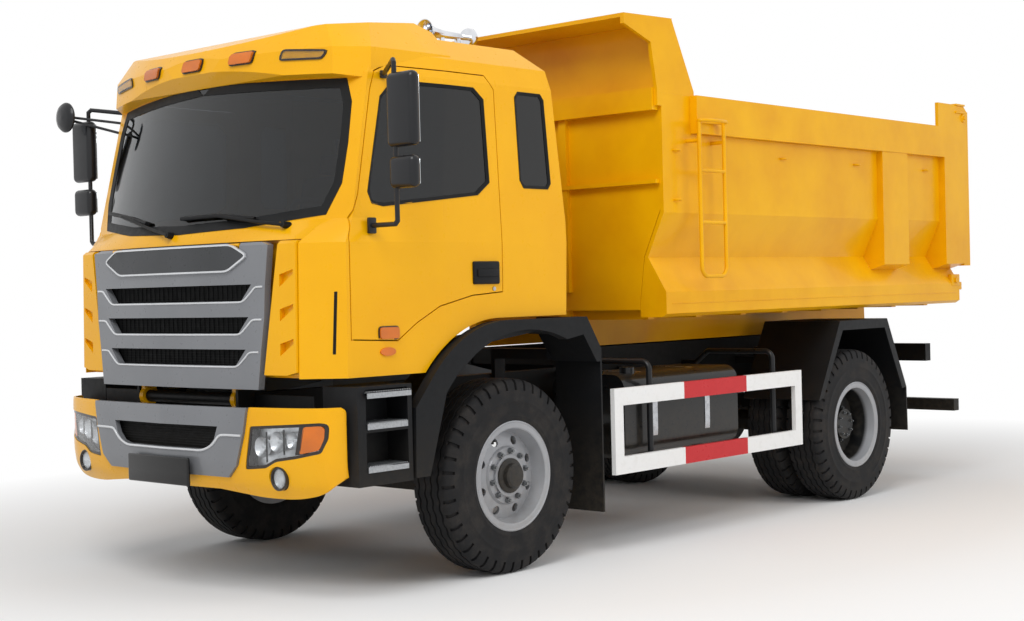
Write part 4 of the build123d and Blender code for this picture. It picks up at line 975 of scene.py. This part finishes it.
# %% Headlamps
bezels, bowls, covers, turn_lamps, dark = (bmesh.new() for _ in range(5))
for side in (1, -1):
    lamp, clear, amber, divider = ([(side * x, z) for x, z in outline]
                                   for outline in (LAMP, CLEAR, AMBER, DIVIDER))
    laid(bezels, strip(lamp, 0.001, 0.015), lamp_skin, "front", -0.004, 0.045)
    laid(bezels, [divider], lamp_skin, "front", -0.005, 0.03)
    laid(bowls, [clear, amber], lamp_skin, "front", -0.058, 0.004)
    laid(covers, [clear], lamp_skin, "front", -0.005, 0.003)
    laid(turn_lamps, [amber], lamp_skin, "front", -0.005, 0.004)
    for x, z, radius in ((0.716, 0.784, 0.052), (0.815, 0.810, 0.052), (0.908, 0.820, 0.044)):
        back = thrown(lamp_skin, "front", side * x, z)[0] + Vector((0, 0.056, 0))
        bowl = [(0.0, 0.0001), (0.004, radius * 0.35), (0.014, radius * 0.7), (0.030, radius),
                (0.028, radius * 1.02), (0.0, radius * 0.8)]
        spun(bowls, bowl, back, AHEAD, 32)
        drum(bowls, back, back + Vector((0, -0.022, 0)), 0.009, 0.007, 12)
    for x, low, high in ((0.762, 0.712, 0.862), (0.868, 0.752, 0.874)):
        front = thrown(lamp_skin, "front", side * x, (low + high) / 2)[0] + Vector((0, 0.016, 0))
        ends = [Vector((front.x, front.y, z)) for z in (low, high)]
        round_bar(dark, ends, 0.0045, 8)

# %% Fog lamps, and all lamp pieces
FOG_BEZEL = [(-0.012, 0.0595), (0.004, 0.0595), (0.006, 0.055), (0.002, 0.049), (-0.012, 0.048)]
FOG_BOWL = [(-0.035, 0.0001), (-0.030, 0.028), (-0.012, 0.048), (-0.014, 0.050), (-0.036, 0.030)]
FOG_COVER = [(-0.003, 0.0001), (-0.004, 0.03), (-0.008, 0.048), (-0.011, 0.048), (-0.007, 0.03),
             (-0.006, 0.0001)]
for side in (1, -1):
    centre = thrown(lamp_skin, "front", side * FOG_X, FOG_Z)[0]
    for shape, outline in ((bezels, FOG_BEZEL), (bowls, FOG_BOWL), (covers, FOG_COVER)):
        spun(shape, outline, centre, AHEAD, 40)
lamp_body = piece("lamp_bezels", bezels, lamp_bezel, "chassis", 40)
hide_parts("front_lamps")
piece("lamp_bowls", bowls, reflector_silver, "chassis", 40)
piece("lamp_covers", covers, clear_lens, "chassis", 40)
piece("turn_lamps", turn_lamps, amber_lens, "chassis", 40)
piece("lamp_dividers", dark, mesh_black, "chassis", 40)

# %% Marker lamps on the visor
visor_skin = skin_of("roof_visor")
markers, rims, clear_marks = bmesh.new(), bmesh.new(), bmesh.new()
MARKER = [(-0.085, -0.028), (0.065, -0.028), (0.085, 0.028), (-0.065, 0.028)]
MARKER_HEIGHT = 2.748
CORNER_LAMP = soft([(0.640, 2.716), (0.880, 2.704), (0.905, 2.740), (0.660, 2.762)], 0.015, 2)
for middle in (-0.375, 0.01, 0.395):
    outline = soft([(middle + x, MARKER_HEIGHT + z) for x, z in MARKER], 0.015, 2)
    laid(markers, [outline], visor_skin, "front", 0.020, 0.022)
    laid(rims, strip(outline, -0.007, 0.004), visor_skin, "front", 0.008, 0.014)
for side in (1, -1):
    outline = [(side * x, z) for x, z in CORNER_LAMP]
    laid(clear_marks, [outline], visor_skin, "front", 0.010, 0.012)
    laid(rims, strip(outline, -0.006, 0.004), visor_skin, "front", 0.007, 0.012)
piece("visor_markers", markers, amber_lens, "cab", 40)
piece("visor_corner_lamps", clear_marks, clear_lens, "cab", 40)
piece("visor_lamp_rims", rims, lamp_bezel, "cab", 40)

# %% [markdown]
# ## Shade in the gap under the front panel
# Three black plates close the gap between the front panel and the bumper. Their black is
# painted shade: it stands for the shaded gap there, and it hides the parts behind it.

# %% Black plates as painted shade in the gap
gap_shade = bmesh.new()
for low, high in ((-0.398, 0.398), (0.441, 0.900), (-0.900, -0.441)):
    cuboid(gap_shade, (low, -1.188, 0.890), (high, -1.180, 1.026), 0.002, 1)
piece("front_gap_shade_plates", gap_shade, moulded_black, "chassis")

# %% [markdown]
# ## Doors and steps
# The door's handle is a black flap in its own bowl, with the lock below it. A side marker
# lamp sits low on the door and a reflector on the sill under it. The steps have folded
# tread plates, galvanised and toothed for grip.

# %% Handles, locks, side lamps and reflectors
SIDE_LAMP = soft([(-0.955, 1.300), (-0.832, 1.300), (-0.832, 1.357), (-0.955, 1.357)], 0.016, 3)
REFLECTOR = oval(-0.903, 1.236, 0.050, 0.021, 24)
SLIT = [(-1.201, 1.235), (-1.192, 1.235), (-1.180, 1.54), (-1.189, 1.54)]
shell_skin = skin_of("cab_shell")
for side, word in ((1, "left"), (-1, "right")):
    skin, door = skin_of(f"door_{word}"), f"door_{word}"
    shape = bmesh.new()
    block_on(shape, side, (1.143, -0.296, 1.560), (1.1655, -0.097, 1.681), 0.010, 3)
    block_on(shape, side, (1.160, -0.276, 1.598), (1.1760, -0.117, 1.640), 0.006, 2)
    piece(f"door_handle_{word}", shape, moulded_black, door, 40)
    shape = bmesh.new()
    lock = thrown(skin, word, -0.135, 1.535)[0]
    drum(shape, lock, lock + Vector((side * 0.006, 0, 0)), 0.012, 0.011, 20)
    piece(f"door_lock_{word}", shape, bright_steel, door, 40)
    shape = bmesh.new()
    laid(shape, [SIDE_LAMP], skin, word, 0.014, 0.016)
    piece(f"side_lamp_{word}", shape, amber_lens, door, 40)
    shape = bmesh.new()
    laid(shape, strip(SIDE_LAMP, -0.006, 0.003), skin, word, 0.006, 0.010)
    piece(f"side_lamp_rim_{word}", shape, lamp_bezel, door, 40)
    shape = bmesh.new()
    laid(shape, [REFLECTOR], shell_skin, word, 0.008, 0.010)
    piece(f"sill_reflector_{word}", shape, amber_lens, "cab", 40)
    shape = bmesh.new()
    laid(shape, [SLIT], shell_skin, word, 0.0012, 0.004)
    piece(f"corner_slit_{word}", shape, mesh_black, "cab", 40)

# %% Step treads
TREADS = ((1.030, 1.212, -1.118, -0.822, 1.048), (1.050, 1.196, -1.105, -0.835, 0.895),
          (1.050, 1.196, -1.105, -0.835, 0.685))
TEETH = 18
treads = bmesh.new()
for side in (1, -1):
    for x0, x1, y0, y1, top in TREADS:
        block_on(treads, side, (x0, y0, top - 0.004), (x1, y1, top))
        block_on(treads, side, (x1 - 0.004, y0, top - 0.030), (x1, y1, top))
        for index in range(TEETH):
            tooth = y0 + 0.012 + index * (y1 - y0 - 0.024) / (TEETH - 1)
            block_on(treads, side, (x0 + 0.01, tooth - 0.003, top), (x1 + 0.001, tooth + 0.003, top + 0.004))
piece("step_treads", treads, galvanised, "chassis", 30)

# %% [markdown]
# ## Mirrors
# A mirror glass is silvered on its back and let into the housing, facing the driver. The
# right side also has a round mirror that looks down in front of the truck.

# %% Mirror housings, arms and glasses
ARM = ((1.130, -0.985, 1.860), (1.300, -0.985, 1.860), (1.315, -0.985, 1.875), (1.315, -0.985, 2.640),
       (1.300, -0.975, 2.655), (1.078, -0.830, 2.620))
DOME = [(-0.020, 0.0001), (-0.020, 0.084), (-0.016, 0.088), (-0.008, 0.088), (0.006, 0.078),
        (0.016, 0.050), (0.020, 0.0001)]
DOME_GLASS = [(0.019, 0.0001), (0.026, 0.0001), (0.0245, 0.04), (0.021, 0.079), (0.019, 0.079)]
for side, word in ((1, "left"), (-1, "right")):
    housing, glass = bmesh.new(), bmesh.new()
    for x0, x1, z0, z1 in ((1.275, 1.465, 2.230, 2.590), (1.285, 1.460, 2.030, 2.187)):
        block_on(housing, side, (x0, -1.015, z0), (x1, -0.950, z1), 0.030, 5)
        block_on(glass, side, (x0 + 0.016, -0.951, z0 + 0.018), (x1 - 0.016, -0.947, z1 - 0.018), 0.0015, 1)
    round_bar(housing, [at(side * x, y, z) for x, y, z in ARM], 0.013, 12)
    block_on(housing, side, (1.121, -1.010, 1.820), (1.141, -0.960, 1.900), 0.006)
    block_on(housing, side, (1.068, -0.850, 2.600), (1.088, -0.810, 2.640), 0.006)
    if word == "right":
        hub = at(-1.377, -1.110, 2.610)
        spun(housing, DOME, hub, AHEAD, 48)
        spun(glass, DOME_GLASS, hub, -AHEAD, 48)
        for z, end in ((2.560, 2.615), (2.495, 2.600)):
            round_bar(housing, [at(-1.080, -0.885, z), at(-1.377, -1.092, end)], 0.008, 10)
        cuboid(housing, (-1.090, -0.905, 2.480), (-1.0725, -0.865, 2.572), 0.004)
    made = piece(f"mirror_housings_{word}", housing, mirror_black, f"door_{word}", 35)
    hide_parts(f"mirrors_{word}")
    piece(f"mirror_glass_{word}", glass, mirror_silver, f"door_{word}", 40)

# %% [markdown]
# ## Horn
# The air horn is a spun trumpet with a diaphragm housing at its rear end, on two feet.

# %% Trumpet horn
BELL = [(0.0, 0.070), (0.012, 0.058), (0.040, 0.042), (0.085, 0.030), (0.150, 0.022), (0.330, 0.016),
        (0.332, 0.048), (0.345, 0.054), (0.372, 0.054), (0.384, 0.046), (0.388, 0.0001), (0.320, 0.0001),
        (0.310, 0.012), (0.150, 0.018), (0.085, 0.026), (0.040, 0.038), (0.012, 0.054), (0.0, 0.066)]
shape = bmesh.new()
spun(shape, BELL, at(0.600, -0.060, 2.975), -AHEAD, 48)
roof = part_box("roof_horn")[0][2] + 0.001
for y in (0.060, 0.190):
    cuboid(shape, (0.588, y, roof), (0.612, y + 0.030, 2.962), 0.003)
horn = piece("trumpet_horn", shape, polished_chrome, "cab", 35)
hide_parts("roof_horn")

# %% [markdown]
# ## Seats
# The seats are foam under woven cloth. Each cushion is a block with its corners rounded off
# by a subdivision surface, and a sunk middle panel between the side bolsters, as the sewn
# seams give it.

# %% Woven cloth
def cloth():
    """Dark woven cloth with a fine weave and faint clouds of wear."""
    made, tree, shader, place = finish_of("woven seat cloth", Roughness=0.95)
    weave = noise(tree, place, 2.5, 2.0, 0.5)
    wear = ramp(tree, noise(tree, place, 60, 4.0), 0.35, 0.7, 0, 1)
    tree.links.new(mixed(tree, wear, paint("#34353A"), paint("#3E3F45")), shader.inputs["Base Color"])
    bumped(tree, shader, weave, 0.4)
    return made

# %% Cushions
seat_cloth = cloth()
LEAN = -10.3
HINGE = at(0, 0.115, 1.74)


def cushion(name, low, high, sunk, lean=0.0):
    """A foam block; the side that faces the sitter is sunk between two bolsters."""
    shape = bmesh.new()
    cuboid(shape, low, high)
    face = max(shape.faces, key=lambda f: f.normal.dot(Vector(sunk)))
    bmesh.ops.inset_region(shape, faces=[face], thickness=0.075, depth=0.0)
    bmesh.ops.inset_region(shape, faces=[face], thickness=0.012, depth=-0.018)
    edges = [edge for edge in shape.edges if edge.calc_face_angle(0) > 1.0 and edge.calc_length() > 0.05]
    bmesh.ops.bevel(shape, geom=edges, offset=0.018, segments=1, affect="EDGES", profile=0.5, material=-1)
    if lean:
        turn = Matrix.Rotation(math.radians(lean), 3, "X")
        bmesh.ops.rotate(shape, verts=shape.verts, cent=HINGE, matrix=turn)
    made = piece(name, shape, seat_cloth, "cab", 80)
    rounder = made.modifiers.new("rounder", "SUBSURF")
    rounder.levels = 2
    rounder.render_levels = 2

# %% Seats
SEATS = ((0.49, "left"), (-0.49, "right"))
bases = bmesh.new()
for x, word in SEATS:
    cuboid(bases, (x - 0.14, -0.10, 1.4255), (x + 0.14, 0.12, 1.60), 0.008)
    cuboid(bases, (x - 0.24, -0.30, 1.598), (x + 0.24, 0.16, 1.630), 0.006)
base = piece("seat_bases", bases, moulded_black, "cab", 40)
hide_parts("seats")
for x, word in SEATS:
    cushion(f"seat_cushion_{word}", (x - 0.265, -0.345, 1.625), (x + 0.265, 0.150, 1.745), (0, 0, 1))
    cushion(f"seat_back_{word}", (x - 0.255, 0.065, 1.730), (x + 0.255, 0.165, 2.260), (0, -1, 0), LEAN)
    cushion(f"head_rest_{word}", (x - 0.13, 0.085, 2.270), (x + 0.13, 0.155, 2.400), (0, -1, 0), LEAN)

# %% [markdown]
# ## Bed, tank and rear end
# Forged rings for the sheet's rope are welded to the bed, a hoop tops its ladder, and
# brackets at its end stand for the tailgate's hinges and latches. Steel straps hold the
# tank, and the rear beam carries lamps in three colours.

# %% Rope rings
RINGS = ((1.44, 2.044), (1.44, 2.341), (4.571, 2.341), (2.62, 2.341), (3.56, 2.341))
RING_HALF, RING_OUT = 0.026, 0.020
side_skin = {word: skin_of(f"bed_side_{word}") for word in ("left", "right")}
shape = bmesh.new()
for word, side in (("left", 1), ("right", -1)):
    for y, z in RINGS:
        foot = thrown(side_skin[word], word, y, z)[0]
        turns = [step * math.pi / 6 for step in range(7)]
        loop = [foot + Vector((side * (0.010 + RING_OUT * math.sin(t)), RING_HALF * math.cos(t), 0))
                for t in turns]
        ends = [foot + Vector((-side * 0.004, along, 0)) for along in (RING_HALF, -RING_HALF)]
        round_bar(shape, ends[:1] + loop + ends[1:], 0.006, 8)
piece("bed_rope_rings", shape, bed_yellow, "bed", 40)

# %% Ladder hoop
shape = bmesh.new()
hoop = [at(1.306, 1.6855, 2.520) + Vector((x, y, 0)) for y, x in oval(0, 0, 0.1335, 0.048, 32)]
round_bar(shape, hoop, 0.011, 10, closed=True)
for y in (1.556, 1.815):
    round_bar(shape, [at(1.300, y, 2.436), at(1.301, y, 2.520)], 0.0128, 12)
piece("ladder_hoop", shape, bed_yellow, "bed", 40)

# %% Tail brackets
shape = bmesh.new()
for side in (1, -1):
    for z in (2.850, 2.792):
        block_on(shape, side, (1.190, 4.985, z), (1.268, 5.130, z + 0.014), 0.003, 1)
    boss = at(side * 1.256, 5.112, 2.760)
    drum(shape, boss, boss + Vector((side * 0.012, 0, 0)), 0.034, 0.031, 28)
    drum(shape, boss, boss + Vector((side * 0.022, 0, 0)), 0.016, None, 6)
    block_on(shape, side, (1.180, 4.960, 1.470), (1.215, 5.090, 1.560), 0.006)
    block_on(shape, side, (1.186, 5.060, 1.440), (1.209, 5.135, 1.500), 0.006)
    lever = at(side * 1.222, 5.020, 1.515)
    drum(shape, lever - Vector((side * 0.010, 0, 0)), lever + Vector((side * 0.008, 0, 0)), 0.022, None, 24)
piece("tail_brackets", shape, bed_yellow, "bed", 35)

# %% Weld beads along the folds
BEAD_STEPS = 40
shape = bmesh.new()
for word, skin in side_skin.items():
    for y0, y1, z in ((1.60, 4.02, 2.4445), (1.37, 5.03, 1.420)):
        stations = [y0 + (y1 - y0) * step / BEAD_STEPS for step in range(BEAD_STEPS + 1)]
        round_bar(shape, [thrown(skin, word, y, z)[0] for y in stations], 0.0035, 6)
piece("bed_weld_beads", shape, bed_yellow, "bed", 50)

# %% Tank straps
TANK = soft([(0.556, 0.516), (1.114, 0.516), (1.114, 1.014), (0.556, 1.014)], 0.16, 8)
shape = bmesh.new()
for y in (1.30, 1.84):
    for quad in strip(TANK, 0.0, 0.003):
        low = [shape.verts.new(at(x, y - 0.025, z)) for x, z in quad]
        high = [shape.verts.new(at(x, y + 0.025, z)) for x, z in quad]
        for a, b in ((0, 1), (2, 3)):
            shape.faces.new((low[a], low[b], high[b], high[a]))
        shape.faces.new(low)
        shape.faces.new(high)
piece("tank_straps", shape, bright_steel, "chassis", 40)

# %% Rear lamps and reflectors
reds, ambers, clears, cases = (bmesh.new() for _ in range(4))
for side in (1, -1):
    block_on(cases, side, (0.52, 5.078, 0.905), (0.90, 5.092, 1.012), 0.004)
    for start, shape in ((0.530, clears), (0.655, reds), (0.780, ambers)):
        block_on(shape, side, (start, 5.088, 0.915), (start + 0.110, 5.112, 1.002), 0.006, 2)
    for x in (0.30, 0.62, 0.94):
        block_on(reds, side, (x, 5.060, 0.545), (x + 0.09, 5.066, 0.570), 0.002, 1)
piece("rear_lamp_cases", cases, moulded_black, "chassis", 40)
piece("rear_lamps_red", reds, red_lens, "chassis", 40)
piece("rear_lamps_amber", ambers, amber_lens, "chassis", 40)
piece("rear_lamps_clear", clears, clear_lens, "chassis", 40)
